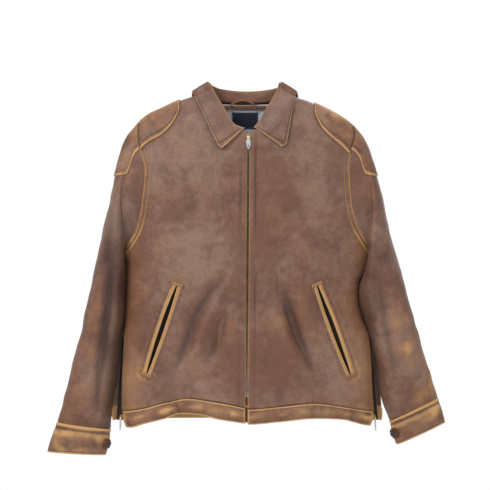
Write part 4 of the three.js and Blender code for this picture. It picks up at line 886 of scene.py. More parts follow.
plan = back_plan(120, 150, -611)
x, z = plan[..., 0], plan[..., 1]
db = drape(x, z, True)
G0, G1 = body(x, z, 0, True, d=db), body(x, z, LEATHER, True, d=db)
G0[..., 1] = np.maximum(G0[..., 1], 0.2); G1[..., 1] = np.maximum(G1[..., 1], 0.2)
o = sheet_obj("back", G0, G1, "leather_body", body_attrs(x, z, True), inner_attrs={"wear_and_painted_light": np.full(x.shape, 0.1), "dark": np.full(x.shape, 0.3)})
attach(o, "torso"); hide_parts("back_panel")
plan = back_plan(70, 70, -598)
x, z = plan[..., 0], plan[..., 1]
x = x * (1 - 0.09 * sm(-z, 400, 460) * sm(np.abs(x), 120, 230))
dl = np.minimum(drape(x, z, True), 0.0)
lb = 3.4 + 1.2 * (0.5 + 0.5 * waves(x, z * 0.4, 61, 80)) * sm(-z, 60, 120)
o = sheet_obj("back_lining_cloth", body(x, z, lb, True, d=dl), body(x, z, lb + LINING, True, d=dl), "lining")
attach(o, "torso"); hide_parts("back_lining")
ll = np.linspace(-1, 1, 140)
ss, vv = np.meshgrid(np.sign(ll) * (0.5 * np.abs(ll) + 0.5 * (1 - (1 - np.abs(ll)) ** 1.4)), np.linspace(0, 1, 15), indexing="ij")
Z = mix(-611.2, HEM_FLAT_Z, vv)
X = np.abs(ss) * np.where(ss < 0, T(BACK_R, Z), T(BACK_L, Z))
prof = 0.4 + 1.3 * np.sin(math.pi * np.clip((vv - 0.13) / 0.74, 0, 1)) ** 0.5 - 0.9 * np.exp(-((vv - 0.11) / 0.035) ** 2) - 0.7 * np.exp(-((vv - 0.88) / 0.03) ** 2) + 0.5 * np.exp(-((vv - 0.97) / 0.03) ** 2)
dd = 0.6 * waves(X, Z * 0.3, 57, 34) * np.sin(math.pi * vv)
G0, G1 = body(X, Z, -prof, True, d=dd), body(X, Z, 2.6 - 1.2 * np.exp(-((vv - 1) / 0.06) ** 2), True, d=dd * 0.3)
wr = 0.5 * np.exp(-((vv - 0.04) / 0.05) ** 2) + 0.8 * np.exp(-((vv - 1) / 0.06) ** 2) + 0.25 * np.exp(-((vv - 0.5) / 0.2) ** 2) + 0.7 * sm(np.abs(ss), 0.97, 1)
dk = 0.7 * np.exp(-((vv - 0.115) / 0.03) ** 2) + 0.45 * np.exp(-((vv - 0.88) / 0.03) ** 2)
o = sheet_obj("back_hem", G0, G1, "leather_band", {"wear_and_painted_light": np.clip(wr, 0, 1), "dark": np.clip(dk, 0, 1)}, inner_attrs={"wear_and_painted_light": np.full(X.shape, 0.45), "dark": np.full(X.shape, 0.1)})
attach(o, "torso"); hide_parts("back_hem_band")

# ------------------------------------------------------------------ sewn rows
def ribbon(P, Nn, w, h, n=12, power=3.0, closed=False):
    """strap along P with its face normal Nn, width w, thickness h, rounded edges"""
    P, Nn = np.asarray(P, float), np.asarray(Nn, float)
    t = (np.roll(P, -1, 0) - np.roll(P, 1, 0)) if closed else np.gradient(P, axis=0)
    t /= np.linalg.norm(t, axis=1)[:, None] + 1e-12
    Nn = Nn - t * (Nn * t).sum(1)[:, None]
    Nn /= np.linalg.norm(Nn, axis=1)[:, None] + 1e-12
    B = np.cross(t, Nn)
    a = np.linspace(0, 2 * math.pi, n, endpoint=False)
    e = 2 / power
    ca, sa = np.sign(np.cos(a)) * np.abs(np.cos(a)) ** e, np.sign(np.sin(a)) * np.abs(np.sin(a)) ** e
    w, h = np.broadcast_to(np.asarray(w, float), (len(P),)), np.broadcast_to(np.asarray(h, float), (len(P),))
    V = P[:, None] + (w / 2)[:, None, None] * ca[None, :, None] * B[:, None] + (h / 2)[:, None, None] * sa[None, :, None] * Nn[:, None]
    K, F = len(P), []
    for k in range(K if closed else K - 1):
        for m in range(n):
            F.append((k * n + m, k * n + (m + 1) % n, ((k + 1) % K) * n + (m + 1) % n, ((k + 1) % K) * n + m))
    V = V.reshape(-1, 3)
    if not closed:
        F.append(tuple(range(n))[::-1])
        F.append(tuple((K - 1) * n + m for m in range(n)))
    return V, F


def stitches(P, Nn, pitch=4.2, length=2.9, r=0.42, sink=0.15):
    """a row of separate thread dashes along P"""
    P, Nn = np.asarray(P, float), np.asarray(Nn, float)
    s = np.concatenate([[0], np.cumsum(np.linalg.norm(np.diff(P, axis=0), axis=1))])
    out = []
    at = lambda q, A: np.array([np.interp(q, s, A[:, k]) for k in range(3)])
    q = pitch / 2
    while q + length < s[-1]:
        pts = []
        for f, hgt in ((0.0, -0.45), (0.2, 0.6), (0.8, 0.6), (1.0, -0.45)):
            c = q + f * length
            nn = at(c, Nn)
            pts.append(at(c, P) + nn / np.linalg.norm(nn) * (r * hgt - sink))
        out.append(tube_data(pts, [r * 0.6, r, r, r * 0.6], 5))
        q += pitch
    return out


ROWS = {}


def row(body_name, mat, P, Nn, **k):
    ROWS.setdefault((body_name, mat), []).extend(stitches(P, Nn, **k))


def on_body(x, z, off, back=False):
    """points and outward normals on the draped surface"""
    x, z = np.asarray(x, float), np.asarray(z, float)
    P = body(x, z, off, back)
    a, b = body(x + 0.8, z, off, back), body(x, z - 0.8, off, back)
    n = np.cross(a - P, b - P)
    n /= np.linalg.norm(n, axis=-1, keepdims=True) + 1e-12
    sgn = np.where((n[..., 1] > 0) == back, 1.0, -1.0)
    return P, n * sgn[..., None]


def line_body(pts, off, back=False, n=160, smooth=True):
    L = along(pts, n, smooth)
    return on_body(L[:, 0], L[:, 1], off, back)


def offset_line(pts, d, n=120, smooth=True):
    L = along(pts, n, smooth)
    t = np.gradient(L, axis=0)
    t /= np.linalg.norm(t, axis=1)[:, None]
    return np.stack([L[:, 0] - t[:, 1] * d, L[:, 1] + t[:, 0] * d], -1)


for side, who in ((-1, "right"), (1, "left")):
    # placket
    z_ = np.linspace(-70 if side > 0 else -72, -604, 300)
    P, n = on_body(cfx(z_) + side * 14.4, z_, 0.1)
    row("torso", "thread_dark", P, n)
    P, n = on_body(cfx(z_) + side * 5.4, z_, 0.25)
    row("torso", "thread_tan", P, n, r=0.32)
    # armhole, front and back
    arm = [p for p in (ARM_R if side < 0 else ARM_L)][1:]
    for back in (False, True):
        for d in (5.4, 11.4):
            L = offset_line(arm, d * (-side) * 1.0)
            ins = np.abs(L[:, 0]) < np.abs(along(arm, 120)[:, 0])
            if not ins.all():
                L = offset_line(arm, d * side)
            P, n = on_body(L[:, 0], L[:, 1], 0.15, back)
            row("torso", "thread_tan", P, n)
        P, n = line_body(arm[1:], -0.3, back, 140)
        sh = np.array([side * 0.4, 0, 0])
        V, F = tube_data(P + sh, 0.95, 8)
        o = make(f"{who}_armhole_piping_{'back' if back else 'front'}", V, F, "leather_edge", {"wear_and_painted_light": np.full(len(V), 0.2), "dark": np.zeros(len(V))})
        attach(o, "torso")
    # hem seam and hem edge
    xx = np.linspace(cfx(-612) + side * 6, side * 246, 200)
    P, n = on_body(xx, T(HEM_SEAM, xx) + 4.5, 0.1)
    row("torso", "thread_tan", P, n)
    for f, off in ((0.115, -0.2), (0.88, -0.5)):
        zz = mix(T(HEM_SEAM, xx), T(HEM_EDGE, xx), f)
        P, n = on_body(xx, zz, 0.0)
        dd = fold_sum(xx, zz, FOLDS[side]) * 0.4 * sm(np.abs(xx - cfx(zz)), 6, 40)
        P = body(xx, zz, off, d=dd)
        row("torso", "thread_dark", P, n)
    # pocket: rows round the welts
    PK = POCKET_R if side < 0 else POCKET_L
    a, u, nrm, L = slit_frame(PK)
    for sg in (-1, 1):
        q = np.linspace(-9, L + 9, 120)
        X_, Z_ = a[0] + u[0] * q + nrm[0] * sg * 15.5, a[1] + u[1] * q + nrm[1] * sg * 15.5
        P, n = on_body(X_, Z_, 0.1)
        row("torso", "thread_dark", P, n)
        q = np.linspace(-3, L + 3, 120)
        X_, Z_ = a[0] + u[0] * q + nrm[0] * sg * 10.6, a[1] + u[1] * q + nrm[1] * sg * 10.6
        P, n = on_body(X_, Z_, -1.25)
        row("torso", "thread_tan", P, n, r=0.3)
    for e in (-6.0, L + 6.0):
        for c in (-2.4, 2.4):
            q = np.linspace(-11, 11, 30)
            X_, Z_ = a[0] + u[0] * (e + c) + nrm[0] * q, a[1] + u[1] * (e + c) + nrm[1] * q
            P, n = on_body(X_, Z_, -1.9)
            row("torso", "thread_dark", P, n, pitch=3.2, length=2.2, r=0.35)

# ------------------------------------------------------------------ zip: separate teeth, slider, pull
def bevel_block(lo, hi, M=None, bevel=0.25, seg=2):
    import bmesh
    bm = bmesh.new()
    bmesh.ops.create_cube(bm, size=1.0)
    lo, hi = np.array(lo, float), np.array(hi, float)
    for v in bm.verts:
        c = (np.array(v.co) + 0.5) * (hi - lo) + lo
        v.co = Vector(c)
    if bevel:
        bmesh.ops.bevel(bm, geom=list(bm.edges), offset=bevel, segments=seg, affect="EDGES", profile=0.5)
    bm.verts.index_update()
    V = np.array([v.co[:] for v in bm.verts])
    F = [tuple(v.index for v in f.verts) for f in bm.faces]
    bm.free()
    if M is not None:
        V = V @ np.array(M[:3]).astype(float) + M[3]
    return V, F


def frame4(ax, ay, az, o):
    """local axes as rows and the origin, all in mm"""
    return [np.array(ax, float), np.array(ay, float), np.array(az, float), np.array(o, float)]


def place(V, M):
    return np.asarray(V) @ np.array(M[:3]) + M[3]


def rod(r, length, axis, o, n=16, bevel=0.2):
    """round bar centred on o"""
    axis = np.array(axis, float) / np.linalg.norm(axis)
    h = length / 2
    q = [(-h, r - bevel), (-h + bevel, r), (h - bevel, r), (h, r - bevel)]
    P = np.array([np.array(o) + axis * a for a, _ in q])
    ref = np.array([0, 1.0, 0]) if abs(axis[1]) < 0.9 else np.array([1.0, 0, 0])
    u = np.cross(axis, ref); u /= np.linalg.norm(u); v = np.cross(axis, u)
    ang = np.linspace(0, 2 * math.pi, n, endpoint=False)
    V = np.concatenate([p + rr * (np.cos(ang)[:, None] * u + np.sin(ang)[:, None] * v) for p, (_, rr) in zip(P, q)])
    F = [(k * n + m, k * n + (m + 1) % n, (k + 1) * n + (m + 1) % n, (k + 1) * n + m) for k in range(3) for m in range(n)]
    F += [tuple(range(n))[::-1], tuple(3 * n + m for m in range(n))]
    return V, F


def plate(outline, hole, thick, bevel, M):
    """flat plate with rounded rims: outline and holes in local x,y; extruded along z"""
    cu = bpy.data.curves.new("plate", "CURVE")
    cu.dimensions, cu.fill_mode = "2D", "BOTH"
    cu.extrude, cu.bevel_depth, cu.bevel_resolution, cu.offset = (thick / 2 - bevel), bevel, 2, -bevel
    loops = [outline] + ([[(hole[0] + hole[2] * math.cos(a), hole[1] + hole[2] * math.sin(a)) for a in np.linspace(0, 2 * math.pi, 24, endpoint=False)]] if hole else [])
    for lp in loops:
        sp = cu.splines.new("POLY")
        sp.points.add(len(lp) - 1)
        for p, c in zip(sp.points, lp):
            p.co = (c[0], c[1], 0, 1)
        sp.use_cyclic_u = True
    ob = bpy.data.objects.new("plate", cu)
    bpy.context.collection.objects.link(ob)
    bpy.context.view_layer.update()
    me = bpy.data.meshes.new_from_object(ob.evaluated_get(bpy.context.evaluated_depsgraph_get()))
    V = np.array([v.co[:] for v in me.vertices])
    F = [tuple(p.vertices) for p in me.polygons]
    bpy.data.objects.remove(ob)
    bpy.data.curves.remove(cu)
    bpy.data.meshes.remove(me)
    return place(V, M), F


def rounded(pts, r=1.2, n=5):
    """polygon with its corners rounded"""
    P = np.array(pts, float)
    out = []
    for k in range(len(P)):
        a, b, c = P[k - 1], P[k], P[(k + 1) % len(P)]
        d1, d2 = (a - b), (c - b)
        l1, l2 = np.linalg.norm(d1), np.linalg.norm(d2)
        k1 = min(r, l1 * 0.42, l2 * 0.42)
        p, q = b + d1 / l1 * k1, b + d2 / l2 * k1
        for t in np.linspace(0, 1, n):
            out.append(tuple((1 - t) ** 2 * p + 2 * (1 - t) * t * b + t * t * q))
    return out


zc = lambda z: np.array([float(cfx(z)), -float(T(DEPTH_F, z)), z])
for side, who in ((-1, "right"), (1, "left")):
    parts = []
    zs = np.arange(-66.5 - (1.4 if side > 0 else 0), -602, -2.8)
    for zz in zs:
        c = zc(zz)
        lo, hi = (0.25, 1.5, -0.62), (2.1, 3.7, 0.62)
        x0, x1 = sorted((side * (lo[0] - 0.5), side * hi[0]))
        parts.append(bevel_block((c[0] + x0, c[1] + lo[1], zz + lo[2]), (c[0] + x1, c[1] + hi[1], zz + hi[2]), None, 0.2, 1))
    V, F = merge(parts)
    o = make(f"{who}_zip_teeth_row", V, F, "brass_aged", smooth=False)
    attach(o, "torso"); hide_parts(f"{who}_front_zip_teeth")
c = zc(-607.5)
V, F = merge([bevel_block((c[0] - 2.2, c[1] + 1.0, -610.2), (c[0] + 2.2, c[1] + 4.2, -604.8), None, 0.6, 3), bevel_block((c[0] - 1.2, c[1] + 0.5, -609), (c[0] + 1.2, c[1] + 2, -606), None, 0.4, 2)])
o = make("zip_stop", V, F, "brass")
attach(o, "torso"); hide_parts("front_zip_bottom_stop")

# a leather tab behind the zip's bottom end, painted dark as the shade in the gap between the zip bands
ii, jj = np.meshgrid(np.linspace(-1, 1, 9), np.linspace(0, 1, 10), indexing="ij")
Z = mix(-600.0, -639.0, jj)
X = cfx(Z) + 9.0 * ii
o = sheet_obj("zip_end_tab", body(X, Z, 5.3, d=0 * X), body(X, Z, 6.4, d=0 * X), "leather_inside", {"wear_and_painted_light": 0 * X, "dark": 0.55 + 0 * X}, inner_attrs={"wear_and_painted_light": 0 * X, "dark": 0.2 + 0 * X})
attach(o, "torso")

dn = zc(-604) - zc(-64)
dn /= np.linalg.norm(dn)
outv = np.cross([1, 0, 0], dn)
outv /= np.linalg.norm(outv)
if outv[1] > 0:
    outv = -outv
s0 = zc(-70.0)
piv = s0 + outv * 3.4 + dn * 1.0
MS = frame4([1, 0, 0], outv, dn, s0)
wedge = rounded([(-2.6, -6), (2.6, -6), (4.5, -2.5), (4.4, 3), (3.0, 6), (-3.0, 6), (-4.4, 3), (-4.5, -2.5)], 1.2)
MP = frame4([1, 0, 0], dn, outv, s0 + outv * 0.35)
V, F = merge([plate(wedge, None, 1.5, 0.3, MP), plate(wedge, None, 1.3, 0.25, frame4([1, 0, 0], dn, outv, s0 - outv * 5.15)),
              bevel_block((-0.5, -5, -5.4), (0.5, 0.2, -2), MS, 0.15),
              bevel_block((-4.1, 0.5, -0.8), (-2.9, 4.5, 2.7), MS, 0.4, 3), bevel_block((2.9, 0.5, -0.8), (4.1, 4.5, 2.7), MS, 0.4, 3), rod(0.8, 6.6, [1, 0, 0], piv)])
o = make("zip_slider_body", V, F, "brass")
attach(o, "front_slider"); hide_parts("front_zip_slider")
blade = rounded([(-2.2, -1.2), (2.2, -1.2), (3.4, -5), (4.9, -10), (4.3, -17), (0.9, -24.3), (-0.9, -24.3), (-4.3, -17), (-4.9, -10), (-3.4, -5)], 1.6, 6)
MB = frame4([1, 0, 0], -dn, outv, piv)
ring = []
V1, F1 = plate(blade, (0, -17.2, 1.7), 1.4, 0.3, MB)
a = np.linspace(0, 2 * math.pi, 30, endpoint=False)
eyelet = tube_data(place(np.stack([2.0 * np.cos(a), -17.2 + 2.0 * np.sin(a), np.full(30, 0.65)], -1), MB), 0.35, 8, True)
rib = tube_data(place(np.stack([np.zeros(12), np.linspace(-3, -13.5, 12), np.full(12, 0.6)], -1), MB), 0.55, 8)
V, F = merge([(V1, F1), rod(2.0, 4.7, [1, 0, 0], piv, 20), eyelet, rib])
o = make("zip_pull_blade", V, F, "steel")
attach(o, "front_pull"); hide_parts("front_zip_pull")

# side vents: tape, teeth, slider, pull
for side, who in ((-1, "right"), (1, "left")):
    SI, BA = (SIDE_R, BACK_R) if side < 0 else (SIDE_L, BACK_L)
    zt, zb = -476.0, -640.0
    A_ = lambda z: np.array([float(T(SI, z)) - side * mix(2.9, 6.5, (z - zt) / (zb - zt)), mix(-2.6, -7.2, (z - zt) / (zb - zt)), z])
    B_ = lambda z: np.array([float(T(BA, z)) - side * 7, 4.4, z])
    a0, a1, b1 = A_(zt), A_(zb), B_(zb)
    ac = (b1 - a1) / np.linalg.norm(b1 - a1)
    b0 = a0 + ac * 6
    run = (a1 + b1) / 2 - (a0 + b0) / 2
    run /= np.linalg.norm(run)
    on = np.cross(ac, run)
    on /= np.linalg.norm(on)
    if on[0] * side < 0:
        on = -on
    ii, jj = np.meshgrid(np.linspace(0, 1, 7), np.linspace(0, 1, 60), indexing="ij")
    G = (1 - ii[..., None]) * ((1 - jj[..., None]) * a0 + jj[..., None] * a1) + ii[..., None] * ((1 - jj[..., None]) * b0 + jj[..., None] * b1)
    o = sheet_obj(f"{who}_vent_tape", G - on * 0.05, G - on * 0.75, "zip_tape", {"wear_and_painted_light": 0 * ii, "dark": 0 * ii})
    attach(o, "torso"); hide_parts(f"{who}_side_zip_tape")
    w = np.cross(run, on)
    w /= np.linalg.norm(w)
    m0, m1 = (a0 + b0) / 2 + on * 0.4, (a1 + b1) / 2 + on * 0.4
    parts = []
    Lz = np.linalg.norm(m1 - m0)
    for k, q in enumerate(np.arange(1.5, Lz - 1.5, 1.9)):
        M = frame4(w, on, (m1 - m0) / Lz, m0 + (m1 - m0) / Lz * q)
        x0, x1 = (-1.7, 0.5) if k % 2 else (-0.5, 1.7)
        parts.append(bevel_block((x0, 0.0, -0.55), (x1, 1.7, 0.55), M, 0.2, 1))
    V, F = merge(parts)
    o = make(f"{who}_vent_teeth", V, F, "brass", smooth=False)
    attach(o, "torso"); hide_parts(f"{who}_side_zip_teeth")
    sp = m0 + run * ((zt + 634.0) / -run[2])
    pv = sp + on * 5.8 + run * 2
    MW = frame4(w, run, on, sp + on * 2.9)
    out_ = rounded([(-2.4, -5), (2.4, -5), (3.6, -1.5), (3.5, 3), (2.4, 5), (-2.4, 5), (-3.5, 3), (-3.6, -1.5)], 1.0)
    MQ = frame4(w, on, run, sp)
    V, F = merge([plate(out_, None, 1.3, 0.25, MW), bevel_block((-3.6, 0.3, -4.2), (-2.2, 2.5, 4.2), MQ, 0.25), bevel_block((2.2, 0.3, -4.2), (3.6, 2.5, 4.2), MQ, 0.25),
                  bevel_block((-3.2, 3.0, 0.7), (-2.2, 6.9, 3.3), MQ, 0.3), bevel_block((2.2, 3.0, 0.7), (3.2, 6.9, 3.3), MQ, 0.3), rod(0.7, 5.6, w, pv)])
    o = make(f"{who}_vent_slider", V, F, "brass")
    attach(o, f"{who}_side_slider"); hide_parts(f"{who}_side_zip_slider")
    up = -run
    o3 = np.cross(w, up)
    tab = rounded([(-1.5, -1.1), (1.5, -1.1), (1.8, -8), (1.8, -22), (1.0, -25), (-1.0, -25), (-1.8, -22), (-1.8, -8)], 1.0)
    V, F = merge([plate(tab, (0, -21, 0.8), 1.2, 0.25, frame4(w, up, o3, pv)), rod(1.8, 3.5, w, pv, 18)])
    o = make(f"{who}_vent_pull", V, F, "steel")
    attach(o, f"{who}_side_pull"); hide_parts(f"{who}_side_zip_pull")

# ------------------------------------------------------------------ collar
FOLD_, BASE_ = np.array(FOLD, float), np.array(BASE, float)


def inward(P, k, dz):
    l = np.hypot(P[..., 0], P[..., 1])[..., None]
    Q = P.copy()
    Q[..., :2] -= P[..., :2] / l * np.asarray(k)[..., None]
    Q[..., 2] += dz
    return Q


q = np.linspace(0, 14, 150)
B_, F_ = catmull(BASE_, q), catmull(FOLD_, q)
tt = np.linspace(0, 1, 12)
st = lambda i0, i1: np.stack([mix(inward(B_, np.full(150, i0), 0.6), inward(F_, np.full(150, i1), -2.6), t) for t in tt], 1)
G0, G1 = st(2.4, 3.8), st(4.0, 5.4)
bow = (0.9 * np.sin(math.pi * tt))[None, :, None]
cr = 0.5 * waves(np.arange(150)[:, None] * 3.0, tt[None] * 40, 71, 34)[..., None] * np.sin(math.pi * tt)[None, :, None]
rad = G0.copy(); rad[..., 2] = 0; rad /= np.linalg.norm(rad, axis=-1, keepdims=True)
G0, G1 = G0 - rad * (bow + cr), G1 - rad * (bow + cr)
ones = np.ones(G0.shape[:2])
wv = 0.55 * np.exp(-((tt - 1) / 0.08) ** 2)[None] * ones + 0.25 * np.exp(-((tt - 0.0) / 0.06) ** 2)[None]
dv = 0.35 * np.exp(-((tt - 0.1) / 0.05) ** 2)[None] * ones
o = sheet_obj("collar_stand_leather", G0, G1, "leather_inside", {"wear_and_painted_light": wv, "dark": dv}, inner_attrs={"wear_and_painted_light": wv, "dark": dv})
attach(o, "torso"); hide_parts("collar_stand")
nst = G1[:, 1] - G0[:, 1]
row("torso", "thread_dark", G1[4:-4, 1] + 0.1 * nst[4:-4], nst[4:-4])


def wing_at(side, s, t, o):
    Fp = FOLD_[:5] if side < 0 else FOLD_[10:][::-1]
    Ep = np.array(EDGE_R if side < 0 else EDGE_L, float)
    k_ = s * (len(Fp) - 1)
    f = catmull(Fp, k_)
    # the edge is followed by its length, with its pointed tip kept
    Ed = along(np.concatenate([Ep[:1], catmull(Ep[1:], np.linspace(0, 4, 60))]), 200, smooth=False)
    e = np.stack([np.interp(s, np.linspace(0, 1, 200), Ed[:, c]) for c in (0, 1)], -1)
    x, z = mix(f[..., 0], e[..., 0], t), mix(f[..., 2], e[..., 1], t)
    k = 1 - sm(s, 0.72, 1.0)
    d0 = np.zeros(x.shape)
    skin = -body(x, z, 0, d=d0)[..., 1]
    yS = -(skin + 0.8 + (5.5 + 3 * np.sin(math.pi * t)) * (k + np.where(skin > 1, 0.8 * (1 - k), 0)))
    bend = mix(f[..., 1], yS, 1 - (1 - t) ** 3)
    crease = 0.9 * waves(x * 0.6 - z * 0.5, x * 0.3 + z * 0.3, 81 if side < 0 else 83, 26) * np.sin(math.pi * np.clip(t, 0, 1)) * np.minimum(1, s * 4) * np.minimum(1, (1 - s) * 4)
    y = np.minimum(-0.6, bend - crease * (skin > 6))
    d = np.stack([-side * 0.45 * (1 - k), k, -0.9 * (1 - k)], -1)
    d /= np.linalg.norm(d, axis=-1, keepdims=True)
    P = np.stack([x, np.minimum(y, -0.6), z], -1) + d * np.asarray(o)[..., None]
    P[..., 1] = np.minimum(P[..., 1], -0.5)
    return P


for side, who in ((-1, "right"), (1, "left")):
    ss, tt2 = np.meshgrid(np.linspace(0, 1, 80), 1 - (1 - np.linspace(0, 1, 40)) ** 1.25, indexing="ij")
    edge = np.minimum(np.minimum((1 - tt2) * 50, ss * 40), 6) / 6
    G0 = wing_at(side, ss, tt2, -0.3 * np.exp(-((edge - 0.45) / 0.2) ** 2) * 0 + 0.9 * (1 - edge) ** 2)
    G1 = wing_at(side, ss, tt2, 2.2 - 0.6 * (1 - edge) ** 2)
    de = np.minimum((1 - tt2) * 52, ss * 46)
    wv = 0.70 * np.exp(-(de / 1.2) ** 2) + 0.16 * np.exp(-((de - 5.2) / 1.4) ** 2) + 0.06 + 0.4 * np.exp(-(tt2 / 0.04) ** 2)
    if side < 0:
        wv = wv + 0.12
    dv = 0.38 * np.exp(-((de - 3.6) / 0.9) ** 2)
    o = sheet_obj(f"{who}_collar_leaf", G0, G1, "leather_collar", {"wear_and_painted_light": np.clip(wv, 0, 1), "dark": dv}, inner_attrs={"wear_and_painted_light": 0.2 * ones[:1, :1] * np.ones(ss.shape), "dark": 0.2 * np.ones(ss.shape)})
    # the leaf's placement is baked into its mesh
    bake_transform(o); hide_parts(f"{who}_collar_wing")
    # stitch row round the leaf and a rolled edge
    s1 = np.linspace(0.985, 0.09, 120); t1 = np.full(120, 0.925)
    t2_ = np.linspace(0.925, 0.06, 50); s2 = np.full(50, 0.085)
    S_, T_ = np.concatenate([s1, s2]), np.concatenate([t1, t2_])
    P = wing_at(side, S_, T_, np.full(S_.shape, 0.0))
    Q = wing_at(side, S_, T_, np.full(S_.shape, -1.0))
    row(f"{who}_wing", "thread_dark", P, Q - P, sink=0.05)
# the fall at the back
FF = catmull(np.array([[-80, .6, 45], *FOLD[5:10], [70, .6, 45]], float), np.linspace(0, 6, 110))
FE = catmull(np.array([[-111, .6, 26], [-108, 36, 6], [-78, 60, -24], [0, 66, -42], [78, 60, -24], [102, 36, 6], [101, .6, 26]], float), np.linspace(0, 6, 110))
tt = 1 - (1 - np.linspace(0, 1, 30)) ** 1.2
G = FF[:, None] * (1 - tt)[None, :, None] + FE[:, None] * tt[None, :, None]
rad = G.copy(); rad[..., 2] = 0; rad /= np.linalg.norm(rad, axis=-1, keepdims=True)
endf = np.sin(math.pi * np.linspace(0, 1, 110)) ** 0.35
lift = (1.2 + 4 * np.sin(math.pi * tt))[None] * endf[:, None]
G0 = G + rad * (lift + 0.4 * waves(np.arange(110)[:, None] * 3.0, tt[None] * 60, 91, 40) * endf[:, None])[..., None]
G1 = G0 - rad * 2.2
G1[0], G1[-1] = G0[0] + [1, 0, -1.9], G0[-1] + [-1, 0, -1.9]
G0[..., 1] = np.maximum(G0[..., 1], 0.6); G1[..., 1] = np.maximum(G1[..., 1], 0.6)
wv = (0.85 * np.exp(-((1 - tt) * 60 / 2.2) ** 2) + 0.28 * np.exp(-(((1 - tt) * 60 - 6) / 2) ** 2) + 0.6 * np.exp(-(tt / 0.05) ** 2))[None] * np.ones((110, 1)) + 0.1
dv = (0.35 * np.exp(-(((1 - tt) * 60 - 4) / 1) ** 2))[None] * np.ones((110, 1))
o = sheet_obj("collar_fall", G0, G1, "leather_collar", {"wear_and_painted_light": np.clip(wv, 0, 1), "dark": dv}, inner_attrs={"wear_and_painted_light": wv * 0.5, "dark": dv})
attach(o, "torso"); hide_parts("collar_back_fall")
P = G0[4:-4, 26]
row("torso", "thread_dark", P, rad[4:-4, 26], sink=0.05)

# neck facing, label, loop
def strap_grid(x0, x1, z0, z1, o0, nu, nv):
    ii, jj = np.meshgrid(np.linspace(0, 1, nu), np.linspace(0, 1, nv), indexing="ij")
    X, Z = mix(x0, x1, ii), mix(z0, z1, jj)
    return ii, jj, lambda o: body(X, Z, o, True, d=np.zeros(X.shape))


ii, jj, g = strap_grid(-60, 56, -0.8, -9.5, 8, 50, 10)
pf = (1 - np.abs(2 * jj - 1) ** 4)
wv = 0.2 + 0.6 * np.exp(-(jj / 0.1) ** 2) + 0.5 * np.exp(-((jj - 1) / 0.1) ** 2)
o = sheet_obj("neck_band", g(7.9), g(8.9 + 0.9 * pf), "leather_inside", {"wear_and_painted_light": wv, "dark": 0 * wv}, inner_attrs={"wear_and_painted_light": wv, "dark": 0.3 * np.exp(-((jj - 0.2) / 0.06) ** 2)})
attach(o, "torso"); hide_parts("back_neck_facing")
ii, jj, g = strap_grid(-30, 22, -15, -48, 5.6, 30, 22)
pf = (1 - np.abs(2 * jj - 1) ** 8) * (1 - np.abs(2 * ii - 1) ** 8)
o = sheet_obj("neck_label_cloth", g(5.5), g(6.3 + 0.35 * pf), "label", {"wear_and_painted_light": 0 * ii, "dark": 0 * ii})
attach(o, "torso"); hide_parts("neck_label")
for (x0, z0), (x1, z1) in (((-28.5, -16.5), (20.5, -16.5)), ((20.5, -16.5), (20.5, -46.5)), ((20.5, -46.5), (-28.5, -46.5)), ((-28.5, -46.5), (-28.5, -16.5))):
    X, Z = np.linspace(x0, x1, 30), np.linspace(z0, z1, 30)
    P = body(X, Z, 6.65, True, d=np.zeros(30))
    row("torso", "label_border", P, np.tile([0, -1.0, 0], (30, 1)), pitch=2.6, length=1.9, r=0.25, sink=0.0)
LP = along(np.array([[-36, -11], [-34, -3], [-27, 4], [-16, 8.5], [-9, 9.2], [-2, 8.5], [9, 4], [16, -3], [18, -11]], float), 60)
P = np.stack([LP[:, 0], np.full(60, 36.2), LP[:, 1]], -1)
V, F = ribbon(P, np.tile([0, -1.0, 0], (60, 1)), 4.0, 1.7, 12)
o = make("loop_strap", V, F, "leather_inside", {"wear_and_painted_light": np.full(len(V), 0.35), "dark": np.zeros(len(V))})
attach(o, "loop"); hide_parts("hanging_loop")

# ------------------------------------------------------------------ shoulder patches
def arm_x(side, z):
    A = np.array(ARM_R if side < 0 else ARM_L, float)
    A = A[np.argsort(A[:, 1])]
    return pchip(A[:, 1], A[:, 0], z)


def patch_at(side, px, v, lift):
    drop = T(PATCH_DROP, px) * v * v
    x = side * px
    z = T(RIDGE, x) - drop
    xe = np.abs(arm_x(side, z)) - 1.6
    xx = side * mix(136, xe, (px - 136) / 77)
    P = np.where((v < 0)[..., None], body(xx, z, -lift, False), body(xx, z, -lift, True))
    P[..., 1] = np.where(np.abs(v) < 1e-6, 0, P[..., 1])
    return P


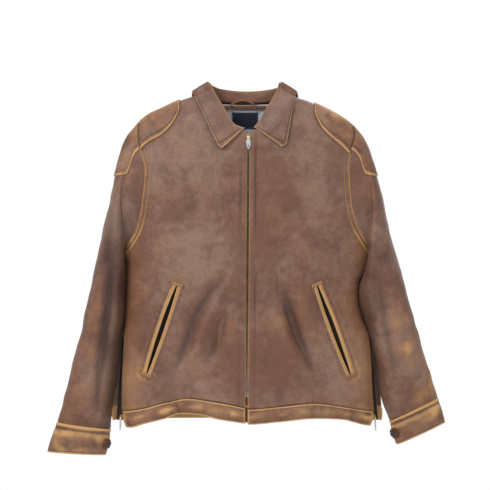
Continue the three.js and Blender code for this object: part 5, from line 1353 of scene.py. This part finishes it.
for side, who in ((-1, "right"), (1, "left")):
    px, v = np.meshgrid(136 + 77 * np.linspace(0, 1, 36) ** 1.3, np.sign(np.linspace(-1, 1, 61)) * np.abs(np.linspace(-1, 1, 61)) ** 1.1, indexing="ij")
    edge = np.minimum(np.minimum((1 - np.abs(v)) * 50, (px - 136) * 1.3), (213.5 - px) * 1.2)
    puff = 1.0 - 0.7 * np.exp(-((edge - 4.2) / 1.2) ** 2) + 0.5 * np.exp(-(edge / 2.0) ** 2)
    G0, G1 = patch_at(side, px, v, 1.9 + 1.1 * puff), patch_at(side, px, v, 1.6 + 0 * px)
    e2 = np.minimum((1 - np.abs(v)) * 50, (px - 136) * 1.3)
    wv = 0.6 * np.exp(-(e2 / 1.6) ** 2) + 0.30 * np.exp(-(np.abs(v) / 0.45) ** 2)
    dv = 0.42 * np.exp(-((e2 - 3.8) / 1.2) ** 2) + 0.12 * np.exp(-((213.5 - px) / 6) ** 2)
    o = sheet_obj(f"{who}_shoulder_pad", G0, G1, "leather_patch", {"wear_and_painted_light": np.clip(wv, 0, 1), "dark": dv})
    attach(o, "torso"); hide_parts(f"{who}_shoulder_patch")
    for sg, nm in ((-1, "front"), (1, "back")):
        pp = 136 + 77 * np.linspace(0, 1, 90)
        P = patch_at(side, pp, np.full(90, sg * 0.995), np.full(90, 2.0))
        V, F = tube_data(P, 1.05, 8)
        o = make(f"{who}_shoulder_pad_piping_{nm}", V, F, "leather_edge", {"wear_and_painted_light": np.full(len(V), 0.25), "dark": np.zeros(len(V))})
        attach(o, "torso")
        P = patch_at(side, pp[4:-3], np.full(83, sg * 0.90), np.full(83, 2.75))
        Q = patch_at(side, pp[4:-3], np.full(83, sg * 0.90), np.full(83, 3.75))
        row("torso", "thread_dark", P, Q - P, sink=0.05)

# ------------------------------------------------------------------ sleeves
NV = 88
nn = np.linspace(0, 20, NV, endpoint=False)


def ring_at(rows, n):
    """rows (K,6) -> (K, len(n), 3) points on the flattened ring"""
    rows = np.asarray(rows, float)
    phi = 2 * math.pi * n / 20
    c, s = np.cos(phi), np.sin(phi)
    e = 2 / 2.3
    ca, sa = np.sign(c) * np.abs(c) ** e, np.sign(s) * np.abs(s) ** e
    cx, cz = (rows[:, 0] + rows[:, 2]) / 2, (rows[:, 1] + rows[:, 3]) / 2
    ax, az = rows[:, 0] - cx, rows[:, 1] - cz
    X = cx[:, None] + ax[:, None] * ca
    Z = cz[:, None] + az[:, None] * ca
    Y = rows[:, 5][:, None] - rows[:, 4][:, None] * sa
    return np.stack([X, Y, Z], -1)


def sleeve_base(side, ks, n):
    rings = np.array((RINGS_R if side < 0 else RINGS_L)[1:], float)
    A = np.array(ARM_R if side < 0 else ARM_L, float)
    j = np.where(n <= 10, n, 20 - n)
    xz = catmull(A, j)
    fr, re = body(xz[:, 0], xz[:, 1], 0, False, d=0 * j), body(xz[:, 0], xz[:, 1], 0, True, d=0 * j)
    r0 = np.where((n <= 10)[:, None], fr, re)
    # the seam closes over the top and under the arm
    w = np.minimum(np.minimum(np.abs(n), np.abs(n - 20)), np.abs(n - 10))
    r0[:, 1] *= np.clip(w / 0.25, 0, 1)
    r0 = r0 + [side * 1.0, 0, -0.3]
    P = np.concatenate([r0[None], ring_at(rings, n)])
    P = catmull(P, ks)
    # the inner edge lies behind the side of the body
    c = -np.cos(2 * math.pi * n / 20)
    P[..., 1] += 11 * sm(c, 0.45, 1.0)[None] * (sm(ks, 0.6, 2.2) * (1 - 0.6 * sm(ks, 7.5, 9)))[:, None]
    return P


SLEEVE_FOLDS = {
    -1: [([(-270, -318), (-276, -380), (-284, -450), (-294, -520), (-300, -600), (-304, -640)], -7.0, 9),
         ([(-300, -330), (-302, -400), (-312, -470), (-326, -540)], 2.6, 16),
         ([(-262, -200), (-280, -280), (-292, -350)], -2.2, 14),
         ([(-228, -120), (-246, -190), (-262, -262)], -1.8, 10),
         ([(-338, -450), (-316, -470), (-292, -486)], -2.4, 9), ([(-344, -486), (-322, -500), (-300, -512)], 1.8, 8),
         ([(-356, -560), (-336, -580), (-306, -590)], -1.6, 9), ([(-270, -420), (-288, -438), (-306, -446)], -2.0, 8)],
    1: [([(266, -318), (264, -380), (276, -450), (290, -520), (300, -590)], -4.5, 9),
        ([(300, -330), (302, -400), (312, -470), (326, -530)], 2.4, 16),
        ([(258, -200), (276, -280), (288, -350)], -2.0, 14),
        ([(226, -120), (242, -190), (258, -262)], -1.6, 10),
        ([(346, -440), (322, -462), (294, -476)], -2.6, 9), ([(350, -476), (328, -492), (304, -506)], 2.0, 9),
        ([(360, -520), (342, -545), (310, -560)], -2.2, 9), ([(268, -400), (284, -424), (304, -436)], -2.0, 8)]}


def sleeve_fold(side, P, ks):
    f = fold_sum(P[..., 0], P[..., 2], SLEEVE_FOLDS[side])
    front_half = sm(-P[..., 1], -12, 14)
    b = 0.75 * np.roll(f, 0) * (1 - front_half) * 0.6
    return f * front_half + b


for side, who in ((-1, "right"), (1, "left")):
    ks = np.concatenate([np.linspace(0, 1, 22)[:-1], np.linspace(1, 9, 150)])
    K = len((RINGS_R if side < 0 else RINGS_L)) - 1
    ks = ks / 9.0 * K
    ks = np.clip(ks, 0, K - 0.004)
    P = sleeve_base(side, ks, nn)
    N = normals(P, True)
    C = P.mean(1, keepdims=True)
    if ((P - C) * N).sum() < 0:
        N = -N
    kk = ks[:, None] * np.ones(NV)
    fold = sleeve_fold(side, P, kk)
    wv_ = 1.2 * waves(P[..., 0] + P[..., 1] * 0.8, P[..., 2], 101 + side, 120) + 0.45 * waves(P[..., 0] * 1.2 + P[..., 1], P[..., 2] * 0.7, 105 + side, 34)
    # seams along the sleeve (outer front and back) and gathering at the cuff
    seamn = np.minimum(np.abs((nn - 2.2)), np.abs(nn - 17.5))[None] * np.ones(kk.shape)
    seam = -0.7 * np.exp(-(seamn / 0.055) ** 2) + 0.45 * np.exp(-((seamn - 0.22) / 0.12) ** 2)
    cuffg = np.exp(-((K - kk) / 0.35) ** 2) * 0.7 * np.sin(nn * 5.2 + 1.3 * np.sin(nn * 1.7))[None]
    fade = sm(kk, 0.12, 1.2)
    fade2 = sm(K - kk, 0.0, 0.35)
    D = (fold + wv_ + seam * sm(kk, 2.65, 2.75)) * fade * fade2 + cuffg * 0.6
    # ease cap: small puffing next to the armhole seam
    D = D + 0.7 * np.exp(-((kk - 0.22) / 0.12) ** 2) - 1.0 * sm(kk, K - 0.06, K)
    G0, G1 = P + N * D[..., None], P + N * (D - LEATHER)[..., None]
    outerness = np.cos(2 * math.pi * nn / 20)[None] * np.ones(kk.shape)
    zz = P[..., 2]
    zn = np.clip((-zz - 60) / 590, 0, 1)
    blot = waves(P[..., 0] * 1.2, P[..., 2] * 0.8, 111 + side, 60)
    # painted light and shade: the outer side of the sleeve is a little lighter and the side towards the body darker;
    # fold valleys get painted shade, and fold crests a lighter tone that is partly rubbing wear and partly painted
    # highlight
    wr = 0.12 * sm(outerness, -0.2, 0.9) + (0.34 if side > 0 else 0.16) * sm(zn, 0.45, 0.8) * sm(outerness, -0.8, 0.4) * (0.7 + 0.45 * blot)
    wr = wr + 0.22 * np.exp(-((kk - 0.05) / 0.05) ** 2) + 0.18 * sm(fold, 0.5, 2.4) + 0.4 * np.exp(-((K - kk) / 0.04) ** 2)
    dk = 0.75 * sm(-fold, 0.8, 5.5) * sm(-P[..., 1], -10, 5) + 0.35 * sm(-outerness, 0.55, 0.98) + 0.4 * np.exp(-((seamn) / 0.08) ** 2) * sm(kk, 2.65, 2.75) + 0.3 * np.exp(-((K - kk - 0.16) / 0.05) ** 2)
    # the half of the sleeve that lies in the shade of the body
    xin = P[..., 0] * side
    lim = T([[-60, 262], [-300, 288], [-420, 290], [-560, 292], [-660, 300]] if side < 0 else [[-60, 236], [-260, 250], [-340, 262], [-420, 262], [-560, 272], [-660, 280]], zz)
    shade = (1 - sm(xin - lim, -9, 3)) * sm(-P[..., 1], -20, 6)
    shade = shade * sm(-zz, 150, 300) * (1 - 0.7 * sm(-zz, 560, 650))
    dk = dk * (0.9 if side < 0 else 0.6) + (0.62 if side < 0 else 0.42) * shade * (0.85 + 0.3 * waves(P[..., 0], zz * 0.6, 141, 60))
    wr = wr * (1 - 0.7 * shade)
    o = sheet_obj(f"{who}_sleeve", G0, G1, "leather_sleeve", {"wear_and_painted_light": np.clip(wr, 0, 1), "dark": np.clip(dk, 0, 0.9)}, wrap=True)
    o_lin = []
    P2 = P[4:-6]
    N2 = N[4:-6]
    Dl = np.minimum(D[4:-6], 0) - 3.2 - 0.5 * (1 + waves(P2[..., 0], P2[..., 2], 7, 50))
    ol = sheet_obj(f"{who}_sleeve_lining_cloth", P2 + N2 * Dl[..., None], P2 + N2 * (Dl - LINING)[..., None], "lining", wrap=True)
    for ob in (o, ol):
        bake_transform(ob)
    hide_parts(f"{who}_sleeve_upper", f"{who}_sleeve_bend", f"{who}_sleeve_lower")
    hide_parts(f"{who}_sleeve_lining_upper", f"{who}_sleeve_lining_lower")
    # patch over the sleeve head
    kmax = 2.58
    kq = np.concatenate([np.linspace(0.05, 0.66, 12)[:-1], np.linspace(0.66, 0.92, 12)[:-1], np.linspace(0.92, kmax, 30)])
    zline = T([[0.05, -93], [0.40, -99], [0.66, -112], [0.80, -132], [0.92, -143], [kmax, -147]], kq)
    dense = np.linspace(0, 9.9, 300)
    Gd_ = sleeve_base(side, kq, dense)
    ne = np.array([np.interp(-zl, -g[:, 2], dense) if -zl > -g[0, 2] else 0.02 for zl, g in zip(zline, Gd_)])
    ne = np.maximum(ne, 0.25)
    uu = np.linspace(-1, 1, 49)
    kp = kq[:, None] * np.ones(49)
    npp = ne[:, None] * uu[None]
    full = sleeve_base(side, kq, nn)
    Nf = normals(full, True)
    if ((full - full.mean(1, keepdims=True)) * Nf).sum() < 0:
        Nf = -Nf
    Dk = np.stack([np.interp(kq, ks, D[:, c]) for c in range(NV)], 1)
    ext = np.append(nn, 20.0)

    def around(A):
        return np.stack([np.stack([np.interp(npp[r] % 20, ext, np.append(A[r, :, c], A[r, 0, c])) for c in range(A.shape[2])], -1) for r in range(len(A))])

    Pp = np.stack([sleeve_base(side, kq[r:r + 1], npp[r] % 20)[0] for r in range(len(kq))])
    Np = around(Nf)
    Np /= np.linalg.norm(Np, axis=-1, keepdims=True)
    Dp = around(Dk[..., None])[..., 0]
    dz = (ne[:, None] - np.abs(npp)) * 14
    dk_ = (kmax - kp) * 34 + 0.5
    edge = np.minimum(dz, dk_)
    puff = 1.0 - 0.7 * np.exp(-((edge - 4.2) / 1.2) ** 2) + 0.4 * np.exp(-(edge / 2.0) ** 2)
    G0, G1 = Pp + Np * (Dp + 1.4 + 1.0 * puff)[..., None], Pp + Np * (Dp + 0.6)[..., None]
    wv = 0.6 * np.exp(-(edge / 1.8) ** 2) + 0.20 * np.exp(-(np.abs(npp) / 1.2) ** 2)
    dv = 0.42 * np.exp(-((edge - 4.0) / 1.2) ** 2) + 0.40 * np.exp(-(((kp - 1.2) / 0.6) ** 2 + ((npp - 1.2) / 0.9) ** 2)) + 0.25 * np.exp(-((kp - 0.05) / 0.08) ** 2)
    o = sheet_obj(f"{who}_sleeve_pad", G0, G1, "leather_patch", {"wear_and_painted_light": np.clip(wv, 0, 1), "dark": np.clip(dv, 0, 1)})
    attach(o, "torso"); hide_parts(f"{who}_sleeve_patch")
    Q = Pp + Np * (Dp + 1.2)[..., None]
    for nm, pp in (("front", Q[:, -1]), ("back", Q[:, 0])):
        V, F = tube_data(pp, 1.05, 8)
        o = make(f"{who}_sleeve_pad_piping_{nm}", V, F, "leather_edge", {"wear_and_painted_light": np.full(len(V), 0.2), "dark": np.zeros(len(V))})
        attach(o, "torso")
    for c_ in (4, -5):
        row("torso", "thread_dark", (Pp + Np * (Dp + 2.2)[..., None])[3:-2, c_], Np[3:-2, c_])
    # cuff
    cr_ = np.array(CUFF_R if side < 0 else CUFF_L, float)
    cr_[0] = mix(np.array((RINGS_R if side < 0 else RINGS_L)[-1], float), cr_[0], 0.1)
    vv = np.linspace(0, 1, 26)
    Cb = catmull(ring_at(cr_, nn), vv * 2)
    Nc = normals(Cb, True)
    if ((Cb - Cb.mean(1, keepdims=True)) * Nc).sum() < 0:
        Nc = -Nc
    prof = 0.6 + 0.9 * np.sin(math.pi * np.clip((vv - 0.2) / 0.75, 0, 1)) ** 0.5 + 0.8 * np.exp(-((vv - 0.09) / 0.05) ** 2) - 0.7 * np.exp(-((vv - 0.185) / 0.03) ** 2) - 0.5 * np.exp(-((vv - 0.9) / 0.025) ** 2) + 0.3 * np.exp(-((vv - 0.97) / 0.03) ** 2)
    dd = prof[:, None] + 0.35 * waves(nn[None] * 9, vv[:, None] * 60, 121 + side, 30) * np.sin(math.pi * vv)[:, None]
    G0, G1 = Cb + Nc * dd[..., None], Cb - Nc * 2.2
    wv = (0.7 * np.exp(-((vv - 0.05) / 0.06) ** 2) + 0.9 * np.exp(-((vv - 1) / 0.06) ** 2) + 0.25 * np.exp(-((vv - 0.3) / 0.1) ** 2))[:, None] + 0.25 * (0.5 + 0.5 * waves(nn[None] * 8, vv[:, None] * 50, 131 + side, 26))
    dv = (0.75 * np.exp(-((vv - 0.185) / 0.03) ** 2) + 0.5 * np.exp(-((vv - 0.9) / 0.025) ** 2) + 0.2 * np.exp(-((vv - 0.6) / 0.15) ** 2))[:, None] * np.ones((1, NV))
    o = sheet_obj(f"{who}_cuff_band", G0, G1, "leather_cuff", {"wear_and_painted_light": np.clip(wv, 0, 1), "dark": np.clip(dv, 0, 1)}, wrap=True, inner_attrs={"wear_and_painted_light": 0.3 + 0 * wv, "dark": 0.1 + 0 * wv})
    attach(o, f"{who}_sleeve"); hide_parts(f"{who}_cuff")
    for f in (0.185, 0.9):
        i = int(round(f * 25))
        Pc = np.concatenate([G0[i], G0[i][:1]]); Nn_ = np.concatenate([Nc[i], Nc[i][:1]])
        row(f"{who}_sleeve", "thread_dark", Pc, Nn_, sink=0.05)
    # knotted button: straps crossing over a low dome
    bpos, bax, bt = ([-286.479, -5.674, -686.471], [0.666, -0.718, -0.2], [0.722, 0.689, -0.07]) if side < 0 else ([300.684, -5.674, -664.801], [-0.68, -0.702, -0.212], [-0.639, 0.709, -0.3])
    bax, bt, bpos = np.array(bax), np.array(bt), np.array(bpos)
    bax /= np.linalg.norm(bax)
    bt -= bax * (bt @ bax); bt /= np.linalg.norm(bt)
    bb = np.cross(bax, bt)
    MBt = frame4(bt, bb, bax, bpos)
    prof = np.array([(0.01, 1.3), (2, 1.3), (2.1, 2.8), (8.2, 3.0), (10.2, 4.4), (10.0, 6.0), (8.0, 7.6), (4.5, 8.6), (0.01, 9.0)])
    ang = np.linspace(0, 2 * math.pi, 32, endpoint=False)
    Gd = np.stack([np.stack([r * np.cos(ang), r * np.sin(ang), np.full(32, h)], -1) for r, h in prof])
    V = place(Gd.reshape(-1, 3), MBt)
    F = [(k * 32 + m, k * 32 + (m + 1) % 32, (k + 1) * 32 + (m + 1) % 32, (k + 1) * 32 + m) for k in range(len(prof) - 1) for m in range(32)] + [tuple(range(32))[::-1], tuple((len(prof) - 1) * 32 + m for m in range(32))]
    parts = [(V, F)]
    dome = lambda r: 3.2 + 6.0 * np.sqrt(np.maximum(0, 1 - (r / 10.9) ** 2))
    for axis_ in (0, 1):
        for w_i, off in enumerate((-6.0, -2.0, 2.0, 6.0)):
            half = math.sqrt(10.6 ** 2 - off * off)
            q = np.linspace(-half, half, 40)
            over = np.cos(math.pi * (q / 4.0 + w_i + axis_ + 0.5 * 0)) * 0.55
            r = np.hypot(q, off)
            h = dome(np.minimum(r, 10.6)) + over + 0.35
            L = np.stack([q, np.full(40, off), h], -1) if axis_ == 0 else np.stack([np.full(40, off), q, h], -1)
            nl = np.stack([L[:, 0], L[:, 1], np.full(40, 9.0)], -1)
            v_, f_ = ribbon(L, nl, 3.7 * np.sin(np.linspace(0.35, math.pi - 0.35, 40)) ** 0.3, 1.5, 10, 2.6)
            parts.append((place(v_, MBt), f_))
    V, F = merge(parts)
    o = make(f"{who}_knot_button", V, F, "button_leather", {"wear_and_painted_light": np.zeros(len(V)), "dark": np.zeros(len(V))})
    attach(o, f"{who}_button"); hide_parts(f"{who}_cuff_button")

# thread
for i, ((b, m), parts) in enumerate(sorted(ROWS.items())):
    V, F = merge(parts)
    o = make(f"thread_{b}_{m}", V, F, m)
    if b.endswith("_wing"):
        k = -1 if b.startswith("right") else 1
        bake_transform(o)
    else:
        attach(o, b)


# ------------------------------------------------------------------ floor
me = bpy.data.meshes.new("floor")
me.from_pydata([(-3.2, -5.2, -0.95), (3.2, -5.2, -0.95), (3.2, 1.3, -0.95), (-3.2, 1.3, -0.95)], [], [(0, 1, 2, 3)])
fl = bpy.data.objects.new("floor", me)
bpy.context.collection.objects.link(fl)
N = Nodes("floor_paint")
N.link(N.mix((0.82, 0.82, 0.82, 1), (0.86, 0.86, 0.85, 1), N.noise(3, 2)), N.p.inputs["Base Color"])
N.set(Roughness=0.7)
me.materials.append(N.m)
fl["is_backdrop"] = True

lo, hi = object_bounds()
